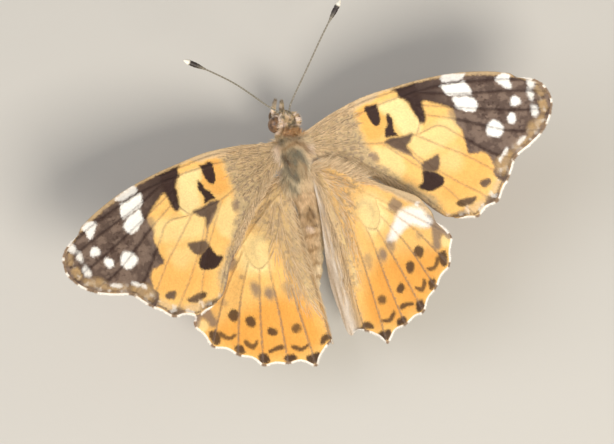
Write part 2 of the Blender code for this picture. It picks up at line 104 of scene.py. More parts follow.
# Wings, flat, as in the solids. The cell's closing veins are kept apart, since no scale follows them
OUTLINES = {
    "forewing": (
        (-1.0, 0.6), (0.6, 0.9), (4.2, 1.6), (8.6, 1.95), (12.5, 1.65), (16.5, 1.15), (20.7, 0.3),
        (24.8, -1.15), (28.2, -2.9), (30.2, -4.4), (30.95, -6.2), (30.5, -8.2), (28.6, -10.2),
        (26.4, -11.2), (24.1, -12.0), (22.4, -13.9), (21.3, -14.7), (20.0, -16.0), (18.4, -16.1),
        (17.0, -16.8), (15.6, -16.4), (14.1, -16.1), (12.3, -14.2), (10.7, -11.8), (8.5, -9.7), (6.0, -7.0),
        (3.2, -4.7), (0.9, -2.7), (-1.0, -1.6)),
    "hindwing": (
        (-0.9, 0.5), (0.8, 0.6), (3.2, -0.4), (7.9, -4.2), (10.3, -5.9), (12.9, -7.8), (13.9, -9.4),
        (14.9, -11.4), (16.3, -13.8), (15.6, -15.4), (15.1, -17.2), (13.5, -18.0), (12.5, -19.2),
        (11.0, -20.0), (10.0, -21.4), (8.5, -21.5), (7.1, -22.1), (5.5, -22.2), (4.0, -23.4), (2.9, -22.2),
        (1.4, -21.1), (0.0, -20.6), (-1.6, -20.4), (-2.2, -17.1), (-2.5, -14.0), (-2.2, -11.0),
        (-1.6, -8.0), (-1.1, -5.0), (-0.9, -2.4)),
}
VEINS = {
    "forewing": (
        ((-0.6, 0.1), (4.2, 1.0), (8.6, 1.35), (12.5, 1.05), (15.5, 0.75)),
        ((-0.6, -0.4), (4.5, 0.0), (9.5, 0.25), (13.0, 0.15), (18.8, -0.5), (25.3, -2.4), (30.2, -4.4)),
        ((-0.6, -0.8), (4.5, -2.4), (9.0, -4.1), (13.6, -4.8), (16.7, -4.9), (18.9, -7.3), (21.8, -10.5),
         (24.1, -12.0)),
        ((15.6, -0.2), (20.0, -2.1), (26.5, -4.3), (30.95, -6.2)),
        ((14.6, -1.4), (20.0, -3.9), (25.6, -6.4), (30.5, -8.2)),
        ((14.7, -2.6), (19.0, -5.0), (24.2, -8.4), (28.6, -10.2)),
        ((13.4, -4.8), (16.2, -7.4), (18.3, -9.3), (20.4, -11.6), (22.4, -13.9)),
        ((11.2, -4.6), (13.2, -8.0), (15.9, -11.5), (18.0, -13.8), (20.0, -16.0)),
        ((9.0, -4.1), (12.4, -8.6), (14.9, -12.6), (17.0, -16.8)),
        ((-0.6, -1.2), (4.5, -4.4), (9.2, -9.0), (12.1, -12.7), (14.1, -16.1)),
    ),
    "hindwing": (
        ((-0.3, -0.2), (4.0, -1.9), (9.0, -5.4), (12.2, -8.2), (13.9, -9.4)),
        ((-0.3, -0.6), (4.0, -3.3), (7.5, -6.2), (11.5, -9.6), (16.3, -13.8)),
        ((7.6, -6.9), (11.5, -11.4), (15.1, -17.2)),
        ((7.5, -8.4), (10.2, -13.2), (12.5, -19.2)),
        ((6.6, -9.8), (8.4, -15.5), (10.0, -21.4)),
        ((-0.3, -1.0), (1.6, -3.6), (3.2, -6.4), (5.2, -9.2), (6.1, -15.8), (7.1, -22.1)),
        ((3.2, -6.4), (3.7, -15.0), (4.0, -23.4)),
        ((-0.2, -1.5), (0.9, -8.4), (1.1, -15.0), (1.4, -21.1)),
    ),
}
CELL_ENDS = {
    "forewing": (((13.6, -4.8), (14.7, -3.2), (14.6, -1.4), (14.0, 0.0)),),
    "hindwing": (((5.2, -9.2), (6.6, -9.8), (7.5, -8.4), (7.5, -6.2)),),
}
WING_POSES = {
    "forewing_left": {"hinge": (2.0, 2.6, 1.6), "sweep": -2.3, "rise": 27.3, "twist": -1.3, "droop": 0.040},
    "forewing_right": {"hinge": (2.0, 2.6, 1.6), "sweep": 2.3, "rise": 21.0, "twist": 3.9, "droop": 0.002},
    "hindwing_left": {"hinge": (1.9, -1.4, 1.1), "sweep": -0.5, "rise": 9.6, "twist": -9.3, "droop": 0.036},
    "hindwing_right": {"hinge": (1.9, -1.4, 2.1), "sweep": 0.5, "rise": 31.7, "twist": -7.0, "droop": 0.012},
}
WING_LENGTH = 30.0
TUCKS = {"hindwing_left": 78.0, "hindwing_right": 12.0}
TUCK_START = 0.5
TUCK_SPREAD = 0.07
TUCK_BEND = 0.9

# A real wing's own relief: membrane, ridges of the veins, and the sag of the membrane between them
MEMBRANE = 0.16
VEIN_RISE = 0.11
VEIN_WIDTH = 0.16
PLEAT_DEPTH = 0.13
PLEAT_WIDTH = 0.9
MEMBRANE_STEP = 0.3
# Stretch of each outline, by its points, that carries a fringe, and how far the membrane stops short of it
FRINGED = {"forewing": (8, 21), "hindwing": (7, 21)}
FRINGE_INSET = 0.36
# Least distance of a scale's root from the rim, and distance between the long hairs' roots
SCALE_MARGIN = 0.07
HAIR_SPACING = 0.135
# Height of a row over the distance between its places, in staggered rows
ROW_SHARE = 0.866

# Layers of paint, in the order in which they cover the ground colour
LAYERS = ("deep", "pale", "olive", "tan", "dark", "brown", "white")

# Markings on the flat wings: layer, strength (below zero takes the layer away), softness of edge, outline.
# Smoke is dark with some brown over it, and faded takes dark away and puts tan in its place
FOREWING_MARKS = (
    ("deep", 0.5, 0.35, ((7.5, 0.3), (8.4, 0.9), (10.2, 0.6), (10.6, -0.3), (10.7, -1.5), (9.9, -2.6),
        (9.0, -3.2), (7.5, -2.9))),
    ("deep", 0.4, 0.9, ((15.2, -8.8), (18.2, -7.6), (19.0, -9.0), (21.2, -10.2), (20.8, -12.2),
        (18.0, -13.8), (15.2, -13.8), (13.8, -12.4), (15.3, -10.8))),
    ("pale", 1.0, 0.45, ((10.3, 0.3), (13.1, 0.0), (14.2, -2.4), (14.5, -3.8), (13.6, -4.5), (11.7, -3.9),
        (11.4, -1.6), (10.6, -0.9))),
    ("pale", 0.65, 0.5, ((7.6, -4.4), (9.5, -4.8), (10.8, -6.5), (10.4, -8.2), (9.2, -9.0), (8.0, -7.4))),
    ("pale", 0.6, 0.7, ((12.3, -4.9), (15.0, -4.6), (18.2, -4.2), (18.5, -6.4), (15.6, -7.4), (12.7, -7.4))),
    ("pale", 0.45, 0.8, ((14.9, -8.4), (17.6, -7.9), (17.8, -9.6), (16.4, -10.6), (15.2, -9.8))),
    ("olive", 1.0, 0.6, ((-1.5, 1.0), (3.0, 1.0), (6.8, 1.2), (7.05, 0.0), (6.95, -1.2), (6.9, -2.4),
        (7.1, -3.4), (7.4, -4.6), (7.4, -5.7), (8.2, -7.0), (9.1, -8.4), (10.0, -9.7), (10.9, -10.6),
        (11.9, -11.8), (12.9, -13.2), (12.2, -14.6), (8.0, -10.0), (4.2, -6.4), (0.4, -3.6), (-1.8, -2.6))),
    ("tan", 1.0, 0.3, ((-1.0, 1.1), (4.2, 2.2), (8.6, 2.7), (10.8, 2.4), (10.6, 1.3), (8.6, 1.05),
        (4.2, 0.7), (-1.0, 0.3))),
    ("tan", 0.75, 0.35, ((12.9, -14.9), (14.6, -15.4), (16.5, -14.9), (18.6, -14.8), (20.2, -13.8),
        (21.0, -13.1), (21.8, -13.6), (20.4, -15.3), (18.4, -16.3), (16.5, -16.6), (14.0, -16.4))),
    ("dark", 1.0, 0.13, ((8.55, 0.55), (9.3, 0.7), (10.1, 0.65), (10.15, -0.1), (10.05, -0.9), (9.7, -1.7),
        (9.2, -1.9), (8.85, -1.5), (8.65, -0.8), (8.5, 0.0))),
    ("dark", 1.0, 0.13, ((11.0, -1.1), (11.37, -1.7), (11.35, -2.25), (11.07, -2.9), (11.05, -3.4),
        (11.15, -3.9), (10.2, -3.85), (9.6, -3.55), (9.6, -3.2), (9.85, -2.7), (10.35, -2.2), (10.6, -1.6))),
    ("smoke", 0.95, 0.22, ((9.4, -4.0), (10.0, -4.0), (11.1, -4.15), (12.2, -4.4), (13.1, -4.55),
        (12.55, -5.15), (12.0, -5.5), (11.85, -6.1), (11.95, -6.8), (11.4, -6.4), (10.8, -5.8), (10.3, -5.4),
        (9.8, -4.9))),
    ("dark", 1.0, 0.16, ((12.5, -8.9), (13.4, -9.4), (14.3, -10.0), (14.65, -10.8), (14.15, -11.5),
        (13.3, -11.75), (12.15, -11.5), (11.4, -10.7), (11.95, -10.2), (12.3, -9.6))),
    ("smoke", 0.92, 0.2, ((12.7, -8.1), (13.5, -8.0), (14.3, -7.95), (15.05, -7.9), (14.95, -8.8),
        (14.5, -9.7), (13.7, -9.6), (12.8, -9.0))),
    ("dark", 1.0, 0.22, ((12.4, 1.5), (13.0, 1.0), (13.0, 0.1), (13.5, -0.4), (13.9, -1.0), (14.2, -2.0),
        (14.35, -3.1), (14.55, -3.8), (14.8, -4.0), (15.2, -3.4), (15.6, -2.5), (15.45, -1.5), (15.7, -1.3),
        (16.6, -1.8), (17.6, -2.45), (18.5, -3.2), (18.95, -3.8), (18.9, -4.6), (18.65, -5.2), (18.95, -6.2),
        (19.05, -7.2), (18.85, -8.2), (18.7, -9.1), (19.2, -9.5), (20.3, -9.5), (21.0, -10.2), (21.2, -11.0),
        (21.1, -11.8), (20.8, -12.4), (21.0, -13.2), (21.7, -14.0), (22.8, -15.2), (25.0, -13.2),
        (29.0, -11.5), (32.0, -8.5), (32.0, -5.5), (29.5, -2.6), (25.0, 0.0), (19.0, 1.8), (12.6, 2.6))),
    ("dark", 0.9, 0.18, ((15.0, -14.25), (15.9, -13.9), (16.8, -14.2), (17.7, -14.2), (17.3, -14.75),
        (16.2, -14.95), (15.4, -14.8))),
    ("dark", 0.9, 0.18, ((18.75, -12.85), (20.0, -12.8), (19.95, -13.55), (19.1, -13.7))),
    ("dark", 0.75, 0.25, ((18.8, -15.0), (20.4, -14.8), (20.6, -15.5), (19.4, -16.0), (18.6, -15.8))),
    ("dark", 0.7, 0.25, ((13.6, -15.3), (15.5, -15.4), (15.6, -16.0), (14.2, -15.9))),
    ("faded", 0.6, 0.25, ((29.3, -4.9), (30.4, -5.0), (30.5, -6.1), (29.5, -6.1))),
    ("dark", -0.65, 0.25, ((29.2, -6.7), (30.2, -6.9), (30.0, -8.0), (29.0, -8.1))),
    ("faded", 0.6, 0.45, ((26.9, -8.9), (28.9, -8.4), (29.2, -9.3), (27.6, -10.2), (26.4, -10.3))),
    ("faded", 0.6, 0.45, ((24.2, -10.3), (25.6, -9.9), (26.8, -10.4), (26.3, -11.2), (24.4, -11.5))),
    ("faded", 0.6, 0.45, ((21.4, -11.4), (23.3, -10.8), (24.0, -11.2), (23.4, -12.4), (22.2, -13.2),
        (21.2, -12.6))),
    ("tan", 0.7, 0.25, ((29.2, -6.7), (30.2, -6.9), (30.0, -8.0), (29.0, -8.1))),
    ("brown", 0.75, 0.25, ((6.9, -4.8), (7.7, -4.9), (7.8, -5.7), (7.1, -5.8))),
    ("brown", 0.6, 0.35, ((18.3, -3.6), (19.4, -3.9), (19.6, -6.2), (18.6, -5.6), (18.2, -4.6))),
    ("white", 0.8, 0.15, ((19.0, 0.5), (19.6, 0.65), (20.3, 0.45), (21.3, 0.05), (21.9, -0.3), (21.6, -0.75),
        (20.9, -0.65), (20.2, -0.48), (19.25, -0.22), (18.9, 0.1))),
    ("white", 1.0, 0.14, ((18.65, -0.4), (19.8, -0.6), (20.75, -0.9), (21.5, -1.1), (21.8, -1.8),
        (21.8, -2.3), (21.72, -2.85), (20.85, -2.65), (19.95, -2.3), (19.1, -1.9), (18.65, -1.35),
        (18.55, -0.8))),
    ("white", 1.0, 0.14, ((19.25, -2.3), (20.25, -2.62), (21.25, -3.0), (21.95, -3.55), (22.0, -4.2),
        (21.7, -4.7), (21.1, -4.85), (20.3, -4.5), (19.6, -3.9), (19.3, -3.2))),
    ("white", 0.95, 0.14, ((25.3, -2.25), (26.0, -1.95), (26.85, -2.15), (27.15, -2.6), (26.85, -2.95),
        (26.75, -3.3), (26.85, -3.6), (26.5, -4.05), (26.05, -3.8), (25.55, -3.15), (25.3, -2.7))),
    ("white", 0.8, 0.16, ((22.0, -11.2), (22.8, -10.7), (23.5, -10.4), (23.5, -10.8), (22.7, -11.2),
        (22.0, -11.6))),
    ("white", 0.7, 0.16, ((24.6, -10.15), (25.8, -9.75), (26.0, -10.1), (24.9, -10.5))),
)
HINDWING_MARKS = (
    ("deep", 0.9, 1.4, ((4.8, -13.8), (9.0, -13.6), (14.5, -15.3), (12.5, -18.5), (9.0, -20.8), (4.5, -21.5),
        (1.8, -20.0), (2.5, -16.5))),
    ("pale", 0.85, 1.0, ((4.6, -5.6), (7.0, -5.2), (8.6, -7.0), (8.8, -8.9), (7.4, -10.0), (5.4, -10.2),
        (4.6, -8.6))),
    ("pale", 0.7, 0.3, ((14.8, -13.6), (16.6, -13.6), (16.2, -15.0), (14.8, -14.8))),
    ("brown", 0.2, 0.35, ((4.4, -5.9), (5.6, -5.7), (6.6, -6.6), (6.7, -7.7), (6.1, -8.4), (6.3, -7.4),
        (5.7, -6.5), (4.6, -6.3))),
    ("olive", 0.75, 1.1, ((-0.8, 0.9), (3.4, 0.0), (7.0, -3.2), (5.2, -5.0), (3.6, -8.4), (3.0, -12.6),
        (1.6, -15.6), (0.2, -14.0), (0.0, -8.0), (-0.8, -3.0))),
    ("tan", 1.0, 0.3, ((2.6, 0.2), (8.4, -4.2), (12.6, -7.2), (14.9, -10.6), (16.6, -13.7), (15.7, -13.9),
        (14.2, -11.3), (12.2, -8.6), (8.4, -5.3), (3.6, -1.6))),
    ("tan", 0.9, 0.6, ((-3.2, -1.0), (0.2, -2.0), (1.0, -8.4), (0.8, -12.8), (0.8, -17.1), (1.2, -19.4),
        (0.0, -21.0), (-2.6, -21.0), (-3.2, -14.0))),
    ("brown", 0.85, 0.3, ((13.8, -10.3), (14.8, -11.5), (15.2, -12.8), (16.0, -13.4), (15.9, -14.2),
        (15.1, -13.4), (14.6, -13.8), (14.4, -14.6), (13.8, -14.8), (13.4, -14.0), (13.6, -13.0),
        (13.8, -12.0), (13.2, -11.8))),
    ("dark", 0.8, 0.16, ((11.75, -16.4), (12.6, -16.45), (13.0, -16.2), (13.4, -15.6), (13.8, -15.8),
        (13.35, -16.6), (12.7, -16.95), (11.95, -16.85))),
    ("dark", 0.8, 0.16, ((9.5, -17.9), (10.2, -18.25), (10.55, -18.0), (10.85, -17.4), (11.3, -17.6),
        (11.0, -18.4), (10.35, -18.85), (9.6, -18.5))),
    ("dark", 0.85, 0.16, ((6.9, -19.5), (7.9, -19.4), (8.7, -19.6), (8.7, -20.05), (7.9, -20.0),
        (6.95, -20.05))),
    ("dark", 0.85, 0.16, ((4.1, -20.25), (4.9, -20.5), (5.45, -20.0), (6.05, -19.75), (6.15, -20.15),
        (5.6, -20.55), (4.95, -21.05), (4.1, -20.75))),
    ("dark", 0.9, 0.18, ((13.8, -15.4), (14.7, -15.3), (14.8, -16.3), (14.5, -16.9), (13.8, -16.7))),
    ("dark", 0.9, 0.18, ((11.5, -17.9), (12.4, -17.8), (12.5, -18.6), (12.1, -19.1), (11.5, -18.9))),
    ("dark", 0.95, 0.18, ((9.1, -19.8), (10.1, -19.7), (10.25, -20.6), (9.8, -21.1), (9.1, -20.9))),
    ("dark", 0.95, 0.18, ((6.0, -20.9), (7.2, -20.8), (7.3, -21.6), (6.7, -21.9), (6.0, -21.7))),
    ("dark", 0.95, 0.18, ((3.2, -21.7), (4.6, -21.7), (4.7, -22.5), (4.0, -22.95), (3.3, -22.6))),
    ("dark", 0.9, 0.2, ((-0.6, -20.05), (1.0, -20.15), (1.6, -19.85), (2.4, -20.15), (2.7, -20.8),
        (1.3, -20.75), (0.2, -20.85), (-0.7, -20.75))),
    ("brown", 0.8, 0.3, ((8.9, -7.5), (9.9, -6.9), (10.8, -8.1), (9.8, -8.8), (9.0, -8.2))),
    ("brown", 0.5, 0.4, ((3.7, -12.2), (4.5, -12.1), (4.6, -13.6), (3.9, -14.0))),
)
MARKS = {"forewing": FOREWING_MARKS, "hindwing": HINDWING_MARKS}
# The hindwing's white patch, which the forewing hides on the left
WHITE_PATCH = ((7.6, -11.4), (8.9, -9.7), (10.4, -8.7), (12.1, -8.8), (13.3, -9.7), (14.0, -11.2),
               (13.6, -11.9), (12.5, -11.5), (11.4, -10.9), (10.0, -11.1), (8.5, -11.8))
# How far the edges of the markings wander, and over what size
EDGE_WANDER = 0.3
WANDER_SIZE = 0.8
# Size of the dark and light speckles at the wings' bases
SPECKLE_SIZE = 0.26
# Round spots: layer, strength, softness of edge, centre, half width and half height
SPOTS = {
    "forewing": (
        ("white", 1.0, 0.16, (26.4, -5.67), (0.6, 0.6)), ("white", 1.0, 0.16, (25.33, -7.32), (0.54, 0.54)),
        ("white", 1.0, 0.18, (22.85, -7.75), (1.05, 1.05)), ("white", 0.85, 0.2, (29.1, -4.45), (0.4, 0.52)),
        ("white", 0.85, 0.2, (28.55, -5.6), (0.32, 0.68)), ("white", 0.85, 0.2, (28.3, -7.5), (0.4, 0.68)),
    ),
    "hindwing": (
        ("dark", 0.88, 0.16, (11.3, -14.2), (0.75, 0.75)), ("dark", 0.88, 0.16, (9.57, -15.6), (0.6, 0.72)),
        ("dark", 0.88, 0.16, (7.55, -17.5), (0.58, 0.55)), ("dark", 0.8, 0.18, (4.72, -18.05), (0.5, 0.65)),
        ("brown", 0.8, 0.35, (7.8, -11.9), (0.5, 0.95)), ("brown", 0.85, 0.35, (6.4, -12.9), (0.55, 0.85)),
        ("brown", 0.55, 0.2, (8.9, -9.9), (0.3, 0.35)), ("brown", 0.4, 0.3, (12.0, -12.4), (0.5, 0.5)),
        ("white", 0.8, 0.12, (12.85, -8.6), (0.3, 0.3)),
    ),
}
# Eyespots of the hindwing's under face, below its first four dark spots: centre, half width and height
EYESPOTS = tuple(spot[3:] for spot in SPOTS["hindwing"][:4])
# Thin brown line between two dark marks of the forewing
BROWN_LINE = ((10.5, -5.5), (11.9, -6.8), (12.7, -8.2))
# Light line along the fold of the hindwing's inner part
FOLD_LINE = ((0.1, -1.3), (0.4, -3.5), (0.9, -5.2), (1.4, -7.0), (1.6, -10.3), (1.8, -12.7), (1.9, -15.3))
# Widths of the forewing's light front strip, of the same near the apex, and of its dark rear line: the rear
# edge's own brown with painted shade under it
COSTAL_STRIP = 0.28
APEX_STRIP = 0.45
REAR_SHADE_LINE = 0.2
# Distance from the outer rim of the forewing's dark line inside the fringe
MARGIN_LINE = 0.6


def linear(hex_colour):
    """An sRGB hex colour as linear red, green and blue."""
    channels = [int(hex_colour[index:index + 2], 16) / 255.0 for index in (0, 2, 4)]
    return tuple(c / 12.92 if c <= 0.04045 else ((c + 0.055) / 1.055) ** 2.4 for c in channels)


# Smooth lines, distances and noise

def smooth_line(points, step, closed=False):
    """Catmull-Rom curve through named points, with about the given step between its samples."""
    places = np.array(points, float)
    count = len(places)
    spans = count if closed else count - 1
    if not closed:
        places = np.vstack((2.0 * places[0] - places[1], places, 2.0 * places[-1] - places[-2]))
    samples = []
    for index in range(spans):
        if closed:
            before, start, end, after = (places[(index + shift) % count] for shift in (-1, 0, 1, 2))
        else:
            before, start, end, after = places[index:index + 4]
        pieces = max(1, round(np.linalg.norm(end - start) / step))
        t = (np.arange(pieces) / pieces)[:, None]
        samples.append(0.5 * (
            2.0 * start + (end - before) * t + (2.0 * before - 5.0 * start + 4.0 * end - after) * t ** 2
            + (3.0 * start - before - 3.0 * end + after) * t ** 3))
    if not closed:
        samples.append(places[-2:-1])
    return np.vstack(samples)


def line_distance(points, line):
    """Distance from each point to a line of straight pieces."""
    starts, ends = line[:-1], line[1:]
    ways = ends - starts
    squares = np.maximum((ways ** 2).sum(1), 1e-9)
    distances = np.empty(len(points))
    for low in range(0, len(points), 4000):
        offsets = points[low:low + 4000, None, :] - starts[None]
        shares = np.clip((offsets * ways).sum(2) / squares, 0.0, 1.0)
        distances[low:low + 4000] = np.sqrt(((offsets - shares[..., None] * ways) ** 2).sum(2).min(1))
    return distances


def inside(points, loop):
    """Whether each point lies inside a closed loop."""
    x, y = points[:, :1], points[:, 1:]
    start, end = loop, np.roll(loop, -1, axis=0)
    spans = (start[:, 1] > y) != (end[:, 1] > y)
    rise = np.where(end[:, 1] == start[:, 1], 1.0, end[:, 1] - start[:, 1])
    crossing = start[:, 0] + (y - start[:, 1]) * (end[:, 0] - start[:, 0]) / rise
    return (spans & (x < crossing)).sum(1) % 2 == 1


def depth_in(points, loop):
    """How deep each point lies inside a closed loop, and below zero outside it."""
    distance = line_distance(points, np.vstack((loop, loop[:1])))
    return np.where(inside(points, loop), distance, -distance)


def soft_step(low, high, value):
    share = np.clip((value - low) / (high - low), 0.0, 1.0)
    return share * share * (3.0 - 2.0 * share)


def patch(points, outline, softness):
    """1 inside an outline, 0 outside, with a soft edge."""
    loop = smooth_line(outline, 0.25, closed=True)
    mask = np.zeros(len(points))
    near = ((points > loop.min(0) - softness) & (points < loop.max(0) + softness)).all(1)
    if near.any():
        mask[near] = soft_step(-softness, softness, depth_in(points[near], loop))
    return mask


def spot(points, centre, radii, softness):
    """1 inside an ellipse, 0 outside, with a soft edge."""
    reach = np.linalg.norm((points - centre) / radii, axis=1)
    return soft_step(-softness, softness, (1.0 - reach) * min(radii))


def stripe(distance, width):
    """1 on a line, falling off smoothly over the width."""
    return np.exp(-(distance / width) ** 2)


def mottle(points, size, seed):
    """Smooth noise from 0 to 1, with blotches of about the given size."""
    lattice = np.random.default_rng(seed).random((64, 64))
    place = points[:, :2] / size
    cell = np.floor(place).astype(int)
    share = place - cell
    share = share * share * (3.0 - 2.0 * share)
    (x, y), (a, b) = cell.T % 64, share.T
    near = lattice[x, y] * (1.0 - a) + lattice[(x + 1) % 64, y] * a
    far = lattice[x, (y + 1) % 64] * (1.0 - a) + lattice[(x + 1) % 64, (y + 1) % 64] * a
    return near * (1.0 - b) + far * b


def unit(vectors):
    return vectors / np.maximum(np.linalg.norm(vectors, axis=-1, keepdims=True), 1e-9)


# From the butterfly's own frame to the frame of the solids

def body_matrix():
    """From the body's frame to the solids', both in metres, found from the two eyes."""
    middle = sum((corner for side in ("left", "right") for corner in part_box(f"eye_{side}")), Vector()) / 4.0
    turn = Matrix.Rotation(math.radians(BODY_PITCH), 4, "X")
    eyes = Vector((HEAD_CENTRE[0], EYE_CENTRE_Y, EYE_CENTRE_Z)) * MM
    return Matrix.Translation(middle - turn @ eyes) @ turn


BODY = body_matrix()
STANCE = Matrix.Translation((BODY.translation.x, BODY.translation.y, 0.0))


def head_roll(points, about_centre=True):
    """Upright places on the head, or directions there, turned as the head is rolled."""
    turn = np.array(Matrix.Rotation(math.radians(HEAD_ROLL), 3, "Y"))
    centre = np.array(HEAD_CENTRE) if about_centre else 0.0
    return (np.asarray(points, float) - centre) @ turn.T + centre


# Wings: from the flat drawing to their place on the body

def bent(name, u, v):
    """Where points of the flat wing lie once it droops and its inner strip is tucked down."""
    height = -WING_POSES[name]["droop"] * u * u / WING_LENGTH
    if name in TUCKS:
        full = math.radians(TUCKS[name])
        run = np.maximum(0.0, TUCK_START + TUCK_SPREAD * np.maximum(0.0, -v) - u)
        turned = np.minimum(full, run / TUCK_BEND)
        straight = np.maximum(0.0, run - full * TUCK_BEND)
        u = u + run - TUCK_BEND * np.sin(turned) - straight * math.cos(full)
        height = height - TUCK_BEND * (1.0 - np.cos(turned)) - straight * math.sin(full)
    return np.stack((u, v, height), axis=1)


def wing_kind(name):
    return name.split("_")[0]


def all_veins(kind):
    return [smooth_line(vein, 0.5) for vein in VEINS[kind] + CELL_ENDS[kind]]


def vein_distance(kind, flat):
    """Distance from each flat point to the nearest vein."""
    return np.min([line_distance(flat, vein) for vein in all_veins(kind)], axis=0)


def wing_points(name, flat, side=0.0, height=0.0):
    """Places on a wing in the body's frame: side +1 is the upper face, -1 the under face, 0 between them."""
    pose = WING_POSES[name]
    near = vein_distance(wing_kind(name), flat)
    sag = -PLEAT_DEPTH * (1.0 - stripe(near, PLEAT_WIDTH))
    ridge = VEIN_RISE * stripe(near, VEIN_WIDTH)
    offset = sag + side * (MEMBRANE / 2.0 + ridge) + height
    step = 0.02
    place = bent(name, *flat.T)
    outwards = bent(name, flat[:, 0] + step, flat[:, 1]) - place
    forwards = bent(name, flat[:, 0], flat[:, 1] + step) - place
    place = place + unit(np.cross(outwards, forwards)) * offset[:, None]
    turn = (Matrix.Rotation(-math.radians(pose["rise"]), 3, "Y")
            @ Matrix.Rotation(math.radians(pose["twist"]), 3, "X")
            @ Matrix.Rotation(math.radians(pose["sweep"]), 3, "Z"))
    place = place @ np.array(turn).T + pose["hinge"]
    if name.endswith("left"):
        place[:, 0] *= -1.0
    return place


def wing_frames(name, flat, ways, side):
    """Places, directions along the flat ways and outward normals on one face of a wing."""
    step = 0.06
    turned = np.stack((-ways[:, 1], ways[:, 0]), axis=1)
    place = wing_points(name, flat, side)
    along = unit(wing_points(name, flat + ways * step, side) - place)
    across = wing_points(name, flat + turned * step, side) - place
    up = unit(np.cross(along, across))
    facing = side * (-1.0 if name.endswith("left") else 1.0)
    return place, along, up * facing


def vein_ways(kind, flat):
    """The direction in which scales lie at each flat point, blended from the veins and front rim near it."""
    ways = np.zeros_like(flat)
    front_rim = OUTLINES[kind][:FRINGED[kind][0] + 1]
    for vein in (smooth_line(line, 0.8) for line in VEINS[kind] + (front_rim,)):
        middles = (vein[1:] + vein[:-1]) / 2.0
        runs = vein[1:] - vein[:-1]
        square = ((flat[:, None, :] - middles[None]) ** 2).sum(2) + 0.05
        ways += (runs[None] / square[..., None] ** 1.5).sum(1)
    return unit(ways)


def wing_rim(kind, inset):
    """The flat outline, drawn in by the inset along its fringed stretch."""
    outline = OUTLINES[kind]
    rim = smooth_line(outline, MEMBRANE_STEP, closed=True)
    tangent = np.roll(rim, -1, axis=0) - np.roll(rim, 1, axis=0)
    inwards = unit(np.stack((tangent[:, 1], -tangent[:, 0]), axis=1))
    first, last = FRINGED[kind]
    fringed = smooth_line(outline[first:last + 1], MEMBRANE_STEP)
    share = soft_step(1.5, 0.2, line_distance(rim, fringed))
    return rim + inwards * (inset * share)[:, None]


def scattered(loop, spacing, jitter, rng):
    """Flat points inside a loop, in staggered rows that are shaken a little."""
    low, high = loop.min(0), loop.max(0)
    rows = np.arange(low[1], high[1], spacing * ROW_SHARE)
    columns = np.arange(low[0], high[0] + spacing, spacing)
    u = columns[None, :] + (np.arange(len(rows)) % 2)[:, None] * spacing / 2.0
    v = np.repeat(rows[:, None], len(columns), axis=1)
    points = np.stack((u.ravel(), v.ravel()), axis=1)
    points += rng.uniform(-jitter, jitter, points.shape) * spacing
    return points[inside(points, loop)]


# Markings

def no_marks(count):
    return {layer: np.zeros(count) for layer in LAYERS}


def cover(marks, mask, **strengths):
    """Lay more of the named layers over what is there, or take them away where a strength is below zero."""
    for layer, strength in strengths.items():
        if strength < 0.0:
            marks[layer] *= 1.0 + strength * mask
        else:
            marks[layer] = 1.0 - (1.0 - marks[layer]) * (1.0 - strength * mask)


def wandered(flat):
    """Flat points moved a little, so that the markings' edges are uneven, as rows of scales make them."""
    shift = [mottle(flat, WANDER_SIZE, seed) - 0.5 for seed in (60, 61)]
    return flat + EDGE_WANDER * np.stack(shift, axis=1)


def upper_marks(name, flat):
    """Masks of the upper face's markings at flat points."""
    kind = wing_kind(name)
    marks = no_marks(len(flat))
    places = wandered(flat)
    for layer, strength, softness, outline in MARKS[kind]:
        mask = patch(places, outline, softness)
        if layer == "smoke":
            cover(marks, mask, brown=0.3, dark=strength)
        elif layer == "faded":
            cover(marks, mask, tan=strength, dark=-strength)
        else:
            cover(marks, mask, **{layer: strength})
    if kind == "forewing":
        forewing_edges(marks, flat)
    for layer, strength, softness, centre, radii in SPOTS[kind]:
        cover(marks, spot(places, centre, radii, softness), **{layer: strength})
    for layer, seed in (("brown", 24), ("tan", 25)):
        speckles = soft_step(0.55, 0.8, mottle(flat, SPECKLE_SIZE, seed))
        cover(marks, marks["olive"] * speckles, **{layer: 0.6})
    near = vein_distance(kind, flat)
    vein = stripe(near, 0.1)
    if kind == "forewing":
        cover(marks, stripe(line_distance(flat, np.array(BROWN_LINE)), 0.14), brown=0.7)
        dim_dark_field(marks, flat, near)
    else:
        u, v = flat.T
        if name == "hindwing_right":
            cover(marks, soft_step(0.5, 2.5, u), olive=-0.65)
            cover(marks, patch(places, WHITE_PATCH, 0.45), white=0.95)
        streak = mottle(flat @ np.array(((1.0, 0.0), (0.0, 0.1))), 0.3, 22)
        cover(marks, soft_step(0.4, -0.5, u) * streak, white=0.7)
        cover(marks, soft_step(0.9, 0.2, u) * (1.0 - streak), brown=0.6)
        cover(marks, stripe(line_distance(flat, smooth_line(FOLD_LINE, 0.5)), 0.22), pale=0.8)
        cover(marks, vein * soft_step(-11.0, -14.0, v), brown=0.5)
    # Near the hindwing's root the veins lie under the hair and take its colour
    shown = soft_step(-6.0, -11.0, flat[:, 1]) if kind == "hindwing" else 1.0
    cover(marks, vein * shown * (1.0 - marks["dark"]), brown=0.38)
    cover(marks, vein, white=-0.4)
    return marks


